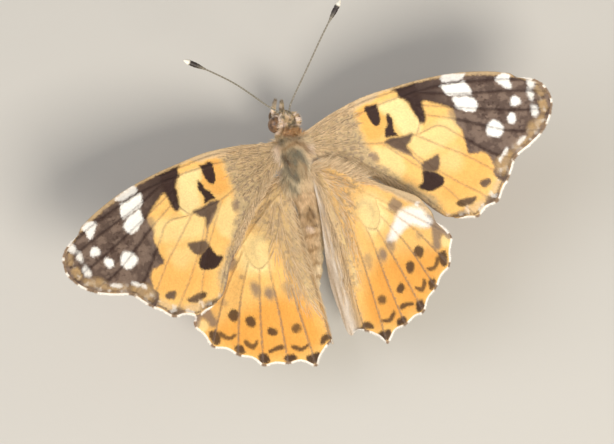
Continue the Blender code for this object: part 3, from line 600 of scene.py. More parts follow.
def forewing_edges(marks, flat):
    """The light strip along the forewing's front rim, and the dark line along its rear one, which is the
    edge's brown with painted shade under it.
    """
    front = line_distance(flat, smooth_line(OUTLINES["forewing"][1:10], 0.3))
    width = COSTAL_STRIP + (APEX_STRIP - COSTAL_STRIP) * soft_step(18.0, 21.0, flat[:, 0])
    strip = soft_step(0.12, -0.12, front - width)
    cover(marks, strip, dark=-0.75, tan=0.85)
    first, last = FRINGED["forewing"]
    outer = line_distance(flat, smooth_line(OUTLINES["forewing"][first:last + 1], 0.3))
    streak = soft_step(0.35, 0.65, mottle(flat, 0.6, 9))
    band = soft_step(2.0, 1.4, outer)
    cover(marks, band * streak, tan=-0.6)
    cover(marks, band * streak * marks["tan"], brown=0.6)
    cover(marks, band * marks["tan"] * soft_step(0.55, 0.75, mottle(flat, 0.5, 10)), white=0.6)
    line = stripe(outer - MARGIN_LINE, 0.13)
    cover(marks, line, dark=0.75, tan=-0.7)
    # Dark rear line: the edge's own brown, with painted shade under the edge
    rear = line_distance(flat, smooth_line(OUTLINES["forewing"][20:27], 0.3))
    cover(marks, soft_step(0.12, -0.12, rear - REAR_SHADE_LINE), brown=0.85)


def dim_dark_field(marks, flat, near_vein):
    """Worn brown scales and pale speckles over the forewing's dark outer part, more of them outwards, on an
    even brown that is partly the scales' own and partly painted sheen.
    """
    field = marks["dark"] * soft_step(15.2, 16.2, flat[:, 0])
    outwards = soft_step(16.5, 21.0, flat[:, 0])
    worn = soft_step(0.35, 0.62, 0.6 * mottle(flat, 0.9, 3) + 0.4 * mottle(flat, 0.3, 7))
    speckles = soft_step(0.66, 0.86, mottle(flat, 0.24, 4)) * soft_step(0.3, 0.6, mottle(flat, 1.6, 8))
    # Even brown over the dark field, more of it outwards: partly the scales' own brown, partly painted sheen
    cover(marks, field * (0.16 + 0.2 * outwards), brown=1.0)
    cover(marks, field * outwards * worn, brown=0.7)
    cover(marks, field * stripe(near_vein, 0.2), brown=-0.75)
    cover(marks, field * outwards * speckles, tan=0.75, brown=-0.6)


def under_marks(name, flat):
    """Masks of the under face's markings: rosy forewing with a pale apex, marbled hindwing with eyespots."""
    kind = wing_kind(name)
    near = vein_distance(kind, flat)
    if kind == "forewing":
        marks = upper_marks(name, flat)
        tip = soft_step(22.5, 24.5, flat[:, 0] - 0.3 * flat[:, 1] - 2.0)
        cover(marks, tip, dark=-0.9, brown=0.75)
        cover(marks, tip * mottle(flat, 1.2, 5), tan=0.8)
        return marks
    marks = no_marks(len(flat))
    cloud = mottle(flat, 1.6, 11) * 0.6 + mottle(flat, 0.8, 12) * 0.4
    marks["olive"] = soft_step(0.42, 0.52, cloud)
    marks["dark"] = soft_step(0.66, 0.74, cloud) * 0.7
    for centre, radii in EYESPOTS:
        for layer, grow in (("dark", 1.25), ("tan", 1.0), ("deep", 0.5)):
            ring = spot(flat, centre, tuple(radius * grow for radius in radii), 0.14)
            cover(marks, ring, **dict.fromkeys(LAYERS, -1.0))
            cover(marks, ring, **{layer: 1.0})
    rim_depth = depth_in(flat, wing_rim(kind, 0.0))
    band = soft_step(2.2, 1.9, rim_depth) * soft_step(1.0, 1.3, rim_depth)
    cover(marks, band * soft_step(-11.0, -14.0, flat[:, 1]), deep=0.8)
    cover(marks, stripe(near, 0.16), white=0.9)
    cover(marks, soft_step(0.62, 0.7, mottle(flat, 2.2, 14)), white=0.7)
    return marks


# Meshes

def add_node(tree, kind, settings=None, links=None):
    """A node with its settings, by input or property name, and with sockets linked to its inputs."""
    node = tree.nodes.new(kind)
    for name, value in (settings or {}).items():
        if isinstance(name, int) or name in node.inputs:
            node.inputs[name].default_value = value
        else:
            setattr(node, name, value)
    for name, socket in (links or {}).items():
        tree.links.new(socket, node.inputs[name])
    return node


def new_mesh(name, places, triangles, smooth):
    mesh = bpy.data.meshes.new(name)
    mesh.vertices.add(len(places))
    mesh.vertices.foreach_set("co", np.ascontiguousarray(places, np.float32).ravel())
    mesh.loops.add(triangles.size)
    mesh.loops.foreach_set("vertex_index", triangles.ravel().astype(np.int32))
    mesh.polygons.add(len(triangles))
    mesh.polygons.foreach_set("loop_start", np.arange(0, triangles.size, 3, dtype=np.int32))
    mesh.update(calc_edges=True)
    if smooth:
        mesh.shade_smooth()
    else:
        mesh.shade_flat()
    return mesh


def new_piece(name, places, triangles, material, nodes, marks=None, grain=None, smooth=True,
              matrix=BODY):
    """A mesh from places in millimetres, with its markings, that rides on the body in its nodes' stead."""
    turn = np.array(matrix)
    mesh = new_mesh(name, places * MM @ turn[:3, :3].T + turn[:3, 3], triangles, smooth)
    if marks is not None:
        tone = np.full(len(places), 0.5) if grain is None else grain
        for half, layers in (("marks_a", LAYERS[:4]), ("marks_b", LAYERS[4:])):
            channels = [marks[layer] for layer in layers] + [tone] * (4 - len(layers))
            attribute = mesh.color_attributes.new(half, "FLOAT_COLOR", "POINT")
            attribute.data.foreach_set("color", np.stack(channels, axis=1).astype(np.float32).ravel())
    mesh.materials.append(material)
    piece = bpy.data.objects.new(name, mesh)
    bpy.context.scene.collection.objects.link(piece)
    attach(piece, "root")
    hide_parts(*nodes)
    return piece


def repeated(pattern, count, corners):
    """The faces of many copies of one small shape."""
    return (np.array(pattern)[None] + (np.arange(count) * corners)[:, None, None]).reshape(-1, 3)


# Half the size of a tuft's patch on the map OFBake
PATCH = 0.0015
# The triangles of one wing scale and of one hair, and where each corner lies on its patch
VANE_FACES = ((0, 1, 3), (0, 3, 2), (1, 0, 4), (3, 1, 4), (2, 3, 4), (0, 2, 4))
VANE_UV = ((0.0, -1.0), (1.0, 0.0), (-1.0, 0.0), (0.0, 1.0), (0.0, 0.0))
SPIKE_FACES = ((0, 1, 2), (0, 3, 4), (0, 4, 1), (1, 4, 5), (1, 5, 2), (2, 5, 3), (2, 3, 0),
               (3, 6, 4), (4, 6, 5), (5, 6, 3))
SPIKE_UV = ((-1.0, -1.0), (1.0, -1.0), (0.0, -1.0), (-0.7, 0.2), (0.7, 0.2), (0.0, 0.2), (0.0, 1.0))


def vanes(roots, ways, ups, lengths, widths, lifts):
    """Thin closed kites that lie along their ways, root low and tip lifted: wing scales."""
    across = np.cross(ways, ups) * (widths / 2.0)[:, None]
    along, rise = ways * lengths[:, None], ups * lifts[:, None]
    points = np.stack((
        roots - along * 0.45 - rise * 0.3, roots + across + rise * 0.5, roots - across + rise * 0.5,
        roots + along * 0.55 + rise, roots + along * 0.1 - rise * 0.4), axis=1)
    return points.reshape(-1, 3), repeated(VANE_FACES, len(roots), len(VANE_UV)), VANE_UV


def spikes(roots, middles, tips, ups, widths):
    """Closed three-sided hairs that bend at the middle and end in a point."""
    rings = []
    for start, end, share in ((roots, middles, 1.0), (middles, tips, 0.8)):
        across = unit(np.cross(end - start, ups)) * (widths * share / 2.0)[:, None]
        crown = unit(np.cross(across, end - start)) * (widths * share * 0.4)[:, None]
        rings += [start - across, start + across, start + crown]
    points = np.stack(rings + [tips], axis=1)
    return points.reshape(-1, 3), repeated(SPIKE_FACES, len(roots), len(SPIKE_UV)), SPIKE_UV


def add_tufts(name, shape, marks, unwrapped, material, nodes, rng, matrix=BODY):
    """A coat of small closed tufts as one piece, each with its own marking and its own tone.

    Its map OFBake has each tuft as a small patch at its root's place on the unwrapped skin.
    """
    points, faces, offsets = shape
    corners = len(offsets)
    spread = {layer: np.repeat(mask, corners) for layer, mask in marks.items()}
    grain = np.repeat(rng.random(len(unwrapped)), corners)
    piece = new_piece(name, points, faces, material, nodes, spread, grain, False, matrix)
    index = faces.ravel()
    places = unwrapped[index // corners] + np.array(offsets)[index % corners] * PATCH
    layer = piece.data.uv_layers.new(name="OFBake")
    layer.data.foreach_set("uv", places.astype(np.float32).ravel())


def flat_unwrap(kind, flat):
    """A flat wing's places on a unit square, with a margin."""
    loop = np.array(OUTLINES[kind])
    low, size = loop.min(0), (loop.max(0) - loop.min(0)).max()
    return 0.03 + 0.94 * np.clip((flat - low) / size, 0.0, 1.0)


def ring_faces(rings, sides):
    """Triangles of a closed skin over rings of points, with a single point before and after them."""
    here = np.arange(sides)
    there = (here + 1) % sides
    faces = [np.stack((np.zeros(sides, int), 1 + there, 1 + here), axis=1)]
    last = 1 + (rings - 1) * sides
    for a in range(1, last, sides):
        b = a + sides
        faces.append(np.stack((a + here, a + there, b + there), axis=1))
        faces.append(np.stack((a + here, b + there, b + here), axis=1))
    faces.append(np.stack((last + here, last + there, np.full(sides, last + sides)), axis=1))
    return np.vstack(faces)


def swept(line, radii, sides):
    """A closed tube of round rings along a line, with a point at each end."""
    tangent = unit(np.gradient(line, axis=0))
    side = unit(np.cross(tangent[0], (0.31, 0.17, 0.94)))
    points = [line[:1] - tangent[:1] * radii[0] * 0.5]
    angles = np.arange(sides) * math.tau / sides
    for place, way, radius in zip(line, tangent, radii):
        side = unit(side - way * (side @ way))
        up = np.cross(way, side)
        points.append(place + radius * (np.cos(angles)[:, None] * side + np.sin(angles)[:, None] * up))
    points.append(line[-1:] + tangent[-1:] * radii[-1] * 0.5)
    return np.vstack(points), ring_faces(len(line), sides)


def joined(parts):
    """The places and faces of several shapes as one."""
    places, faces, start = [], [], 0
    for part_places, part_faces in parts:
        places.append(part_places)
        faces.append(part_faces + start)
        start += len(part_places)
    return np.vstack(places), np.vstack(faces)


def ball(centre, radii, segments=48, rings=32):
    """An ellipsoid with triangular faces."""
    polar = np.linspace(0.0, math.pi, rings + 1)[1:-1]
    angles = np.arange(segments) * math.tau / segments
    ring = np.stack((np.outer(np.sin(polar), np.cos(angles)).ravel(),
                     np.outer(np.sin(polar), np.sin(angles)).ravel(),
                     np.repeat(np.cos(polar), segments)), axis=1)
    points = np.vstack(([[0.0, 0.0, 1.0]], ring, [[0.0, 0.0, -1.0]])) * radii + centre
    return points, ring_faces(rings - 1, segments)[:, ::-1]


# Materials

def new_material(name):
    material = bpy.data.materials.new(name)
    material.use_nodes = True
    return material, material.node_tree, material.node_tree.nodes["Principled BSDF"]


def palette(group):
    """Ground colour and layers of one group of surfaces, from the colour properties."""
    colours = bpy.context.scene.butterfly_colours
    return [(*getattr(colours, f"{group}_{layer}"), 1.0) for layer in ("ground",) + LAYERS]


def pattern(tree, kind, size_mm, **settings):
    """A procedural texture with cells or blotches of a real size, fixed to the piece."""
    place = add_node(tree, "ShaderNodeTexCoord")
    settings["Scale"] = 1.0 / (size_mm * MM)
    return add_node(tree, kind, settings, {"Vector": place.outputs["Object"]})


def paint(tree, shader, group, tone, blotch_mm):
    """Ground colour, the layers of the markings over it, then each tuft's tone and wider blotches."""
    masks = []
    for name in ("marks_a", "marks_b"):
        source = add_node(tree, "ShaderNodeAttribute", {"attribute_name": name})
        split = add_node(tree, "ShaderNodeSeparateColor", links={"Color": source.outputs["Color"]})
        masks += [split.outputs[channel] for channel in ("Red", "Green", "Blue")] + [source.outputs["Alpha"]]
    *masks, grain = masks
    ground, *hues = palette(group)
    under = add_node(tree, "ShaderNodeRGB")
    under.outputs["Color"].default_value = ground
    colour = under.outputs["Color"]
    for mask, hue in zip(masks, hues):
        mix = add_node(tree, "ShaderNodeMix", {"data_type": "RGBA", 7: hue}, {0: mask, 6: colour})
        colour = mix.outputs[2]
    noise = pattern(tree, "ShaderNodeTexNoise", blotch_mm, Detail=3.0)
    both = add_node(tree, "ShaderNodeMath", {"operation": "ADD"}, {0: grain, 1: noise.outputs["Fac"]})
    span = {"From Max": 2.0, "To Min": 1.0 - tone, "To Max": 1.0 + tone}
    value = add_node(tree, "ShaderNodeMapRange", span, {"Value": both.outputs["Value"]})
    toned = {"Color": colour, "Value": value.outputs["Result"]}
    painted = add_node(tree, "ShaderNodeHueSaturation", links=toned)
    tree.links.new(painted.outputs["Color"], shader.inputs["Base Color"])


def scale_material(name, group):
    """Wing scales: flattened hollow bristles of chitin, grown in rows and coloured by pigment.

    Their ribbed faces scatter light, so the eye sees a matt, powdery colour with a faint sheen at the edge.
    """
    material, tree, shader = new_material(name)
    paint(tree, shader, group, tone=0.16, blotch_mm=2.2)
    shader.inputs["Roughness"].default_value = 0.6
    shader.inputs["Specular IOR Level"].default_value = 0.2
    shader.inputs["Sheen Weight"].default_value = 0.04
    shader.inputs["Sheen Roughness"].default_value = 0.5
    return material


def membrane_material(name, group):
    """Wing membrane: two sheets of chitin grown together. It takes the colour of the scales that cover it.

    Real scale rows are 0.1 mm apart, too fine to show, and are drawn 0.2 mm apart as a faint grain.
    """
    material, tree, shader = new_material(name)
    paint(tree, shader, group, tone=0.12, blotch_mm=2.2)
    rows = pattern(tree, "ShaderNodeTexNoise", 0.2, Detail=2.0)
    bump = add_node(tree, "ShaderNodeBump", {"Strength": 0.3, "Distance": 0.03 * MM},
                    {"Height": rows.outputs["Fac"]})
    tree.links.new(bump.outputs["Normal"], shader.inputs["Normal"])
    shader.inputs["Roughness"].default_value = 0.68
    shader.inputs["Specular IOR Level"].default_value = 0.3
    return material


def wing_materials(make, name):
    """One material for the upper faces, and one for the under faces of each kind of wing."""
    upper, rosy, marbled = (make(f"{name}_{group}", group) for group in ("upper", "rosy", "marbled"))
    return upper, {"forewing": rosy, "hindwing": marbled}


def fur_material(name, group="fur"):
    """Setae: fine solid hairs of chitin, grown from the skin. Soft, matt, with light caught along them."""
    material, tree, shader = new_material(name)
    paint(tree, shader, group, tone=0.28, blotch_mm=1.1)
    shader.inputs["Roughness"].default_value = 0.55
    shader.inputs["Specular IOR Level"].default_value = 0.35
    shader.inputs["Sheen Weight"].default_value = 0.25
    shader.inputs["Sheen Roughness"].default_value = 0.4
    return material


def cuticle_material(name, group, roughness):
    """Cuticle: chitin hardened in layers, satin where bare, with pits 0.15 mm apart that dull the shine."""
    material, tree, shader = new_material(name)
    paint(tree, shader, group, tone=0.15, blotch_mm=0.8)
    pits = pattern(tree, "ShaderNodeTexVoronoi", 0.15)
    bump = add_node(tree, "ShaderNodeBump", {"Strength": 0.25, "Distance": 0.02 * MM},
                    {"Height": pits.outputs["Distance"]})
    tree.links.new(bump.outputs["Normal"], shader.inputs["Normal"])
    shader.inputs["Roughness"].default_value = roughness
    return material


def cornea_material(name):
    """Compound eye: clear lenses of hard cuticle over brown pigment, which gives a glossy, mottled brown.

    Real facets are 0.02 mm across, too fine to show, and are drawn 0.07 mm across.
    """
    material, tree, shader = new_material(name)
    colours = bpy.context.scene.butterfly_colours
    cloud = pattern(tree, "ShaderNodeTexNoise", 0.4, Detail=2.0)
    share = add_node(tree, "ShaderNodeMapRange", {"From Min": 0.36, "From Max": 0.66},
                     {"Value": cloud.outputs["Fac"]})
    browns = {"data_type": "RGBA", 6: (*colours.eye_dark, 1.0), 7: (*colours.eye_light, 1.0)}
    mix = add_node(tree, "ShaderNodeMix", browns, {0: share.outputs["Result"]})
    tree.links.new(mix.outputs[2], shader.inputs["Base Color"])
    facets = pattern(tree, "ShaderNodeTexVoronoi", 0.07, Randomness=0.3)
    bump = add_node(tree, "ShaderNodeBump", {"Strength": 0.35, "Distance": 0.015 * MM, "invert": True},
                    {"Height": facets.outputs["Distance"]})
    tree.links.new(bump.outputs["Normal"], shader.inputs["Normal"])
    shader.inputs["Roughness"].default_value = 0.3
    shader.inputs["Coat Weight"].default_value = 0.4
    shader.inputs["Coat Roughness"].default_value = 0.12
    return material


def board_material():
    """Floor: board painted with matt emulsion, rolled on, which leaves a faint orange-peel 1.5 mm across."""
    material, tree, shader = new_material("painted_board")
    peel = pattern(tree, "ShaderNodeTexNoise", 1.5)
    bump = add_node(tree, "ShaderNodeBump", {"Strength": 0.08, "Distance": 0.1 * MM},
                    {"Height": peel.outputs["Fac"]})
    tree.links.new(bump.outputs["Normal"], shader.inputs["Normal"])
    shader.inputs["Base Color"].default_value = (*bpy.context.scene.butterfly_colours.board, 1.0)
    shader.inputs["Roughness"].default_value = 0.85
    return material


# Wings

def wing_seed(name, part):
    return SEED * 1000 + list(WING_POSES).index(name) * 10 + part


def clear_of_body(points):
    """Whether each place is outside the thorax and the abdomen."""
    thorax = (((points - THORAX_CENTRE) / (np.array(THORAX_RADII) - THORAX_COAT)) ** 2).sum(1) > 1.0
    line = smooth_line(ABDOMEN_LINE, 0.5)
    stations = np.linspace(ABDOMEN_LINE[0][1], ABDOMEN_LINE[-1][1], len(ABDOMEN_RADII))
    radii = np.interp(-points[:, 1], -stations, ABDOMEN_RADII)
    return thorax & (line_distance(points, line) > radii - ABDOMEN_COAT)


def add_membrane(name, materials):
    """Both faces of one wing, closed round the rim, with its veins raised."""
    kind = wing_kind(name)
    rim = wing_rim(kind, FRINGE_INSET)
    rng = np.random.default_rng(wing_seed(name, 0))
    field = scattered(rim, MEMBRANE_STEP, 0.1, rng)
    field = field[depth_in(field, rim) > MEMBRANE_STEP * 0.4]
    corners = [Vector(point) for point in np.vstack((rim, field))]
    made, _, triangles = delaunay_2d_cdt(corners, [], [list(range(len(rim)))], 1, 0.0001)[:3]
    flat = np.array([tuple(point) for point in made])
    top = np.array(triangles)
    a, b, c = (flat[top[:, index]] for index in range(3))
    turned = (b[:, 0] - a[:, 0]) * (c[:, 1] - a[:, 1]) < (b[:, 1] - a[:, 1]) * (c[:, 0] - a[:, 0])
    top[turned] = top[turned][:, ::-1]
    count = len(flat)
    starts = np.vstack((top[:, :2], top[:, 1:], top[:, [2, 0]]))
    codes = starts[:, 0] * count + starts[:, 1]
    open_edges = starts[~np.isin(codes, starts[:, 1] * count + starts[:, 0])]
    start, end = open_edges.T
    walls = np.vstack((np.stack((end, start, start + count), axis=1),
                       np.stack((end, start + count, end + count), axis=1)))
    faces = np.vstack((top, walls, top[:, ::-1] + count))
    if name.endswith("left"):
        faces = faces[:, ::-1]
    upper, under = upper_marks(name, flat), under_marks(name, flat)
    marks = {layer: np.concatenate((upper[layer], under[layer])) for layer in LAYERS}
    places = np.vstack((wing_points(name, flat, 1.0), wing_points(name, flat, -1.0)))
    piece = new_piece(f"membrane_{name}", places, faces, materials[0], [name], marks)
    piece.data.materials.append(materials[1])
    below = np.zeros(len(faces), np.int32)
    below[len(top) + len(walls):] = 1
    piece.data.polygons.foreach_set("material_index", below)


# How far, in mm, a scale's colour is taken from beside its place
MARK_SHAKE = 0.04


def add_scales(name, side, spacing, sizes, material):
    """A coat of scales over one face of a wing, in rows that follow its veins."""
    kind = wing_kind(name)
    rng = np.random.default_rng(wing_seed(name, 1 if side > 0.0 else 2))
    rim = wing_rim(kind, FRINGE_INSET)
    flat = scattered(rim, spacing, 0.3, rng)
    flat = flat[depth_in(flat, rim) > SCALE_MARGIN]
    ways = unit(vein_ways(kind, flat) + rng.normal(0.0, 0.1, flat.shape))
    place, along, up = wing_frames(name, flat, ways, side)
    kept = clear_of_body(place)
    flat, place, along, up = flat[kept], place[kept], along[kept], up[kept]
    count = len(flat)
    grow = spacing / (sizes.scale_spacing / MM)
    lengths = sizes.scale_length / MM * grow * rng.uniform(0.85, 1.15, count)
    widths = sizes.scale_width / MM * grow * rng.uniform(0.85, 1.15, count)
    lifts = rng.uniform(0.02, 0.05, count)
    shape = vanes(place, along, up, lengths, widths, lifts)
    face, marks_of = ("upper", upper_marks) if side > 0.0 else ("under", under_marks)
    marks = marks_of(name, flat + rng.normal(0.0, MARK_SHAKE, flat.shape))
    add_tufts(f"scales_{face}_{name}", shape, marks, flat_unwrap(kind, flat), material, [name],
              rng)


# Distance between the fringe's scales, the length of each of its rows as a share, and how far a brown break
# reaches from a vein's end, and how much farther by the forewing's apex
FRINGE_STEP = 0.045
FRINGE_ROWS = np.array((1.0, 0.85, 0.7))
BREAK_REACH = 0.42
APEX_REACH = 0.35


def add_fringe(name, length, material):
    """Long white scales round the outer margin, brown where each vein ends."""
    kind = wing_kind(name)
    rng = np.random.default_rng(wing_seed(name, 3))
    first, last = FRINGED[kind]
    edge = smooth_line(OUTLINES[kind][first:last + 1], FRINGE_STEP)
    tangent = unit(np.gradient(edge, axis=0))
    outwards = np.stack((-tangent[:, 1], tangent[:, 0]), axis=1)
    rows = np.arange(len(edge)) % len(FRINGE_ROWS)
    lengths = length * FRINGE_ROWS[rows] * rng.uniform(0.85, 1.1, len(edge))
    run = np.arange(len(edge)) * FRINGE_STEP
    lengths *= 0.35 + 0.65 * soft_step(0.0, 1.2, np.minimum(run, run[-1] - run))
    flat = edge - outwards * (FRINGE_INSET + 0.08 - lengths * 0.45)[:, None]
    ends = np.array([vein[-1] for vein in VEINS[kind]])
    near_end = np.linalg.norm(edge[:, None] - ends[None], axis=2).min(1)
    reach = BREAK_REACH + APEX_REACH * (soft_step(27.0, 29.0, edge[:, 0]) if kind == "forewing" else 0.0)
    breaks = soft_step(0.12, -0.12, near_end - reach)
    ways = unit(outwards + 0.35 * vein_ways(kind, edge) + rng.normal(0.0, 0.12, edge.shape))
    place, along, up = wing_frames(name, flat, ways, 1.0)
    place -= up * (MEMBRANE / 2.0 + (rows - 1.0)[:, None] * 0.04)
    widths = rng.uniform(0.1, 0.15, len(edge))
    shape = vanes(place, along, up, lengths, widths, rng.uniform(0.0, 0.05, len(edge)))
    marks = no_marks(len(edge))
    marks["dark"] = breaks * 0.55
    marks["brown"] = np.maximum(breaks * 0.8, 0.1)
    marks["white"] = (1.0 - breaks) * 0.9
    add_tufts(f"fringe_{name}", shape, marks, flat_unwrap(kind, flat), material, [name], rng)


# Width of a streak of hair, as a turn about the wing's root in radians
FAN_STREAK = 0.035
# Outer bound of each hindwing's long hair, as u at each v
HAIR_BOUNDS = {
    "hindwing_left": ((4.2, 0.0), (4.0, -6.8), (4.4, -9.3), (4.7, -13.0), (4.2, -15.1), (3.6, -17.0),
                      (2.0, -19.5)),
    "hindwing_right": ((5.4, 0.0), (4.6, -4.1), (3.8, -6.3), (3.4, -8.5), (3.2, -11.0), (2.6, -13.3),
                       (1.8, -15.5), (0.6, -18.6)),
}
# Shares of pale, olive and brown hairs on each wing; the rest are tan
HAIR_KINDS = {"forewing_left": (0.25, 0.45, 0.15), "forewing_right": (0.4, 0.3, 0.15),
              "hindwing_left": (0.2, 0.45, 0.15), "hindwing_right": (0.5, 0.15, 0.15)}


def edge_hair(name, flat):
    """Share, ways and lengths of the hair beside the gap between the wings, near the body."""
    kind = wing_kind(name)
    if kind == "forewing":
        edge, towards, last = OUTLINES[kind][20:], (0.05, -1.0), 11.0
    else:
        edge, towards, last = OUTLINES[kind][:5], (0.35, 0.75), 8.0
    near = soft_step(1.1, 0.5, line_distance(flat, smooth_line(edge, 0.3)))
    return near * soft_step(last, last - 3.0, flat[:, 0]), np.array(towards)


def fanned(flat):
    """Turn about the wing's root, and a little of the distance from it, so that blotches become streaks."""
    u, v = flat.T
    return np.stack((np.arctan2(u, 2.0 - v), 0.02 * np.hypot(u, v)), axis=1)


def wing_hair_roots(name, rng):
    """Flat roots, ways and lengths of the long hairs near the body, and their markings."""
    kind = wing_kind(name)
    flat = scattered(wing_rim(kind, FRINGE_INSET), HAIR_SPACING, 0.45, rng)
    u, v = flat.T
    if kind == "forewing":
        share = soft_step(7.0, 1.5, u - 0.25 * v - 1.0) * 0.3
        ways = vein_ways(kind, flat)
        lengths = rng.uniform(0.6, 1.2, len(flat))
    else:
        bounds = np.array(HAIR_BOUNDS[name])
        bound = np.interp(-v, -bounds[:, 1], bounds[:, 0])
        share = soft_step(0.6, -2.6, u - bound) * soft_step(-20.0, -12.0, v)
        if name == "hindwing_right":
            share = share * soft_step(-1.6, 0.6, u)
        share = share * (0.05 + 0.24 * soft_step(0.35, 0.65, mottle(fanned(flat), FAN_STREAK, 23)))
        down = soft_step(4.0, 1.0, u) if name == "hindwing_left" else soft_step(1.5, 0.0, u)
        ways = unit(vein_ways(kind, flat) + down[:, None] * (-0.05, -0.9))
        ways = ways - spill(name, flat)[:, None] * (0.4, 0.0)
        lengths = rng.uniform(1.0, 2.4, len(flat))
    beside, towards = edge_hair(name, flat)
    share = np.maximum(share, 0.75 * beside)
    ways = unit(ways + beside[:, None] * towards)
    kept = rng.random(len(flat)) < share
    flat, ways, lengths = flat[kept], ways[kept], lengths[kept]
    marks = no_marks(len(flat))
    pale, olive, brown = HAIR_KINDS[name]
    streak = mottle(fanned(flat), FAN_STREAK, 21) * 0.7 + rng.random(len(flat)) * 0.55 - 0.12
    marks["tan"] += 0.7
    marks["pale"] = soft_step(pale + 0.06, pale - 0.06, streak) * 0.85
    marks["olive"] = soft_step(1.0 - brown - olive - 0.05, 1.0 - brown - olive + 0.05, streak) * 0.8
    marks["brown"] = soft_step(1.0 - brown - 0.05, 1.0 - brown + 0.05, streak) * 0.6
    return flat, unit(ways + rng.normal(0.0, 0.1, ways.shape)), lengths, marks


def spill(name, flat):
    """Share of a hair's run that leaves the tucked wing and lies over the abdomen instead."""
    return soft_step(3.0, 1.4, flat[:, 0]) if name == "hindwing_left" else np.zeros(len(flat))


def add_wing_hair(name, width, material):
    """Long soft hairs that stream from the wing's base along its inner part."""
    kind = wing_kind(name)
    rng = np.random.default_rng(wing_seed(name, 4))
    flat, ways, lengths, marks = wing_hair_roots(name, rng)
    roots, along, ups = wing_frames(name, flat, ways, 1.0)
    reach, run = ways * lengths[:, None], along * lengths[:, None]
    free = spill(name, flat)[:, None]
    middles = wing_points(name, flat + reach * 0.5, 1.0, 0.16) * (1.0 - free)
    middles += (roots + run * 0.5 + (0.0, 0.0, 0.1)) * free
    middles += ups * rng.uniform(0.0, 0.14, (len(flat), 1))
    tips = wing_points(name, flat + reach, 1.0, 0.14) * (1.0 - free) + (roots + run) * free
    kept = clear_of_body(roots) & clear_of_body(middles)
    widths = width * rng.uniform(0.7, 1.2, kept.sum())
    shape = spikes(roots[kept], middles[kept], tips[kept], ups[kept], widths)
    marks = {layer: mask[kept] for layer, mask in marks.items()}
    add_tufts(f"hair_{name}", shape, marks, flat_unwrap(kind, flat[kept]), material, [name], rng)


# Body

# Depth of the coat, and where on the body's length the coats of head, thorax and abdomen meet
THORAX_COAT = 0.4
HEAD_COAT = 0.25
ABDOMEN_COAT = 0.25
HEAD_START = 4.3
ABDOMEN_START = -3.6
# Size of the grid on which one skin is grown over the shells
SKIN_VOXEL = 0.13
# Shells that join the parts of the skin: the neck and the waist, with their centres and radii
JOINING_SHELLS = (((0.14, 4.2, 0.15), (1.1, 0.95, 1.15)), ((0.0, -3.7, 0.0), (1.25, 1.1, 1.3)))
# The same in pairs at the roots of wings and legs: the middle of the pair and each one's reach from it,
# then y and z, and the radii
ROOT_SHELLS = (
    ((0.1, 1.6, 2.3, 1.2), (0.55, 1.1, 0.6)), ((0.1, 1.55, -1.5, 0.9), (0.5, 1.1, 0.7)),
    ((0.0, 0.95, 1.6, -1.7), (0.55, 0.75, 0.8)), ((0.0, 0.95, -1.0, -1.7), (0.55, 0.75, 0.8)),
)
# How far along a tuft the part lies that shows, and so takes the marking drawn there
SHOWN_SHARE = 0.6
# How the coat lies: place, direction and length of guides on the right side, which the left side mirrors
COAT_GUIDES = (
    ((0.0, 4.0, 1.3), (0.0, 0.0, 1.0), 1.0), ((1.2, 3.9, 0.4), (0.8, 0.1, 0.7), 0.9),
    ((0.9, 3.8, -1.0), (0.5, 0.2, -0.8), 0.6), ((0.0, 3.0, 2.0), (0.0, -0.8, 0.5), 0.7),
    ((0.0, 1.5, 2.3), (0.05, -1.0, 0.2), 0.8), ((0.0, -0.5, 2.3), (0.05, -1.0, 0.15), 0.9),
    ((0.0, -2.5, 1.8), (-0.05, -1.0, 0.1), 1.4), ((1.9, 2.4, 0.9), (0.85, -0.6, 0.4), 1.7),
    ((2.1, 0.3, 0.9), (0.62, -0.85, 0.25), 2.2), ((1.8, -2.0, 0.8), (0.35, -0.95, 0.15), 2.1),
    ((2.0, 0.3, -0.6), (0.5, -0.8, -0.3), 1.1), ((1.2, 2.0, -1.8), (0.3, -0.6, -0.6), 0.8),
    ((0.0, 0.3, -2.3), (0.0, -0.95, -0.3), 0.8), ((0.0, -2.8, -1.6), (0.0, -1.0, -0.15), 0.9),
    ((0.0, -5.0, 1.2), (-0.14, -1.0, 0.05), 1.0), ((1.2, -5.0, 0.0), (0.15, -1.0, 0.1), 1.1),
    ((0.0, -5.0, -1.4), (-0.14, -1.0, -0.1), 0.5), ((-1.1, -9.6, 0.8), (-0.24, -1.0, -0.05), 0.75),
    ((-2.4, -9.6, -0.3), (-0.35, -1.0, 0.0), 0.9), ((-1.1, -9.6, -2.2), (-0.24, -1.0, -0.25), 0.45),
    ((-2.2, -14.0, -0.8), (-0.24, -1.0, -0.2), 0.6),
)
# The same for the upright head, before it is rolled
HEAD_GUIDES = (
    ((0.2, 5.3, 1.6), (0.0, 0.45, 0.75), 0.42), ((0.2, 4.6, 1.3), (0.0, -0.2, 0.9), 0.5),
    ((0.2, 6.4, 1.1), (0.0, 0.9, 0.6), 0.5), ((0.2, 6.9, 0.2), (0.0, 1.0, 0.1), 0.5),
    ((0.2, 6.7, -0.7), (0.0, 0.8, -0.5), 0.45), ((0.2, 5.5, -1.4), (0.0, 0.3, -0.9), 0.4),
    ((1.2, 4.6, 0.1), (0.8, -0.4, 0.1), 0.4), ((-0.8, 4.6, 0.1), (-0.8, -0.4, 0.1), 0.4),
)
# Grey-green middle of the back, and the orange-brown collar behind the head, seen from above
BACK_PATCH = ((0.4, 1.9), (1.15, 1.2), (1.4, -0.2), (0.95, -1.4), (-0.3, -2.4), (-1.1, -1.7), (-1.65, -0.3),
              (-1.5, 0.9), (-0.8, 1.7))
COLLAR_PATCH = ((-0.35, 4.5), (0.6, 4.7), (1.6, 4.4), (2.35, 3.7), (2.15, 3.0), (1.2, 3.15), (0.3, 3.45),
                (-0.5, 3.8))
# A rosy brown patch within the back's middle
ROSY_PATCH = ((0.6, 0.2), (1.0, -0.8), (0.75, -1.9), (0.1, -2.4), (-0.15, -1.2), (0.2, -0.2))


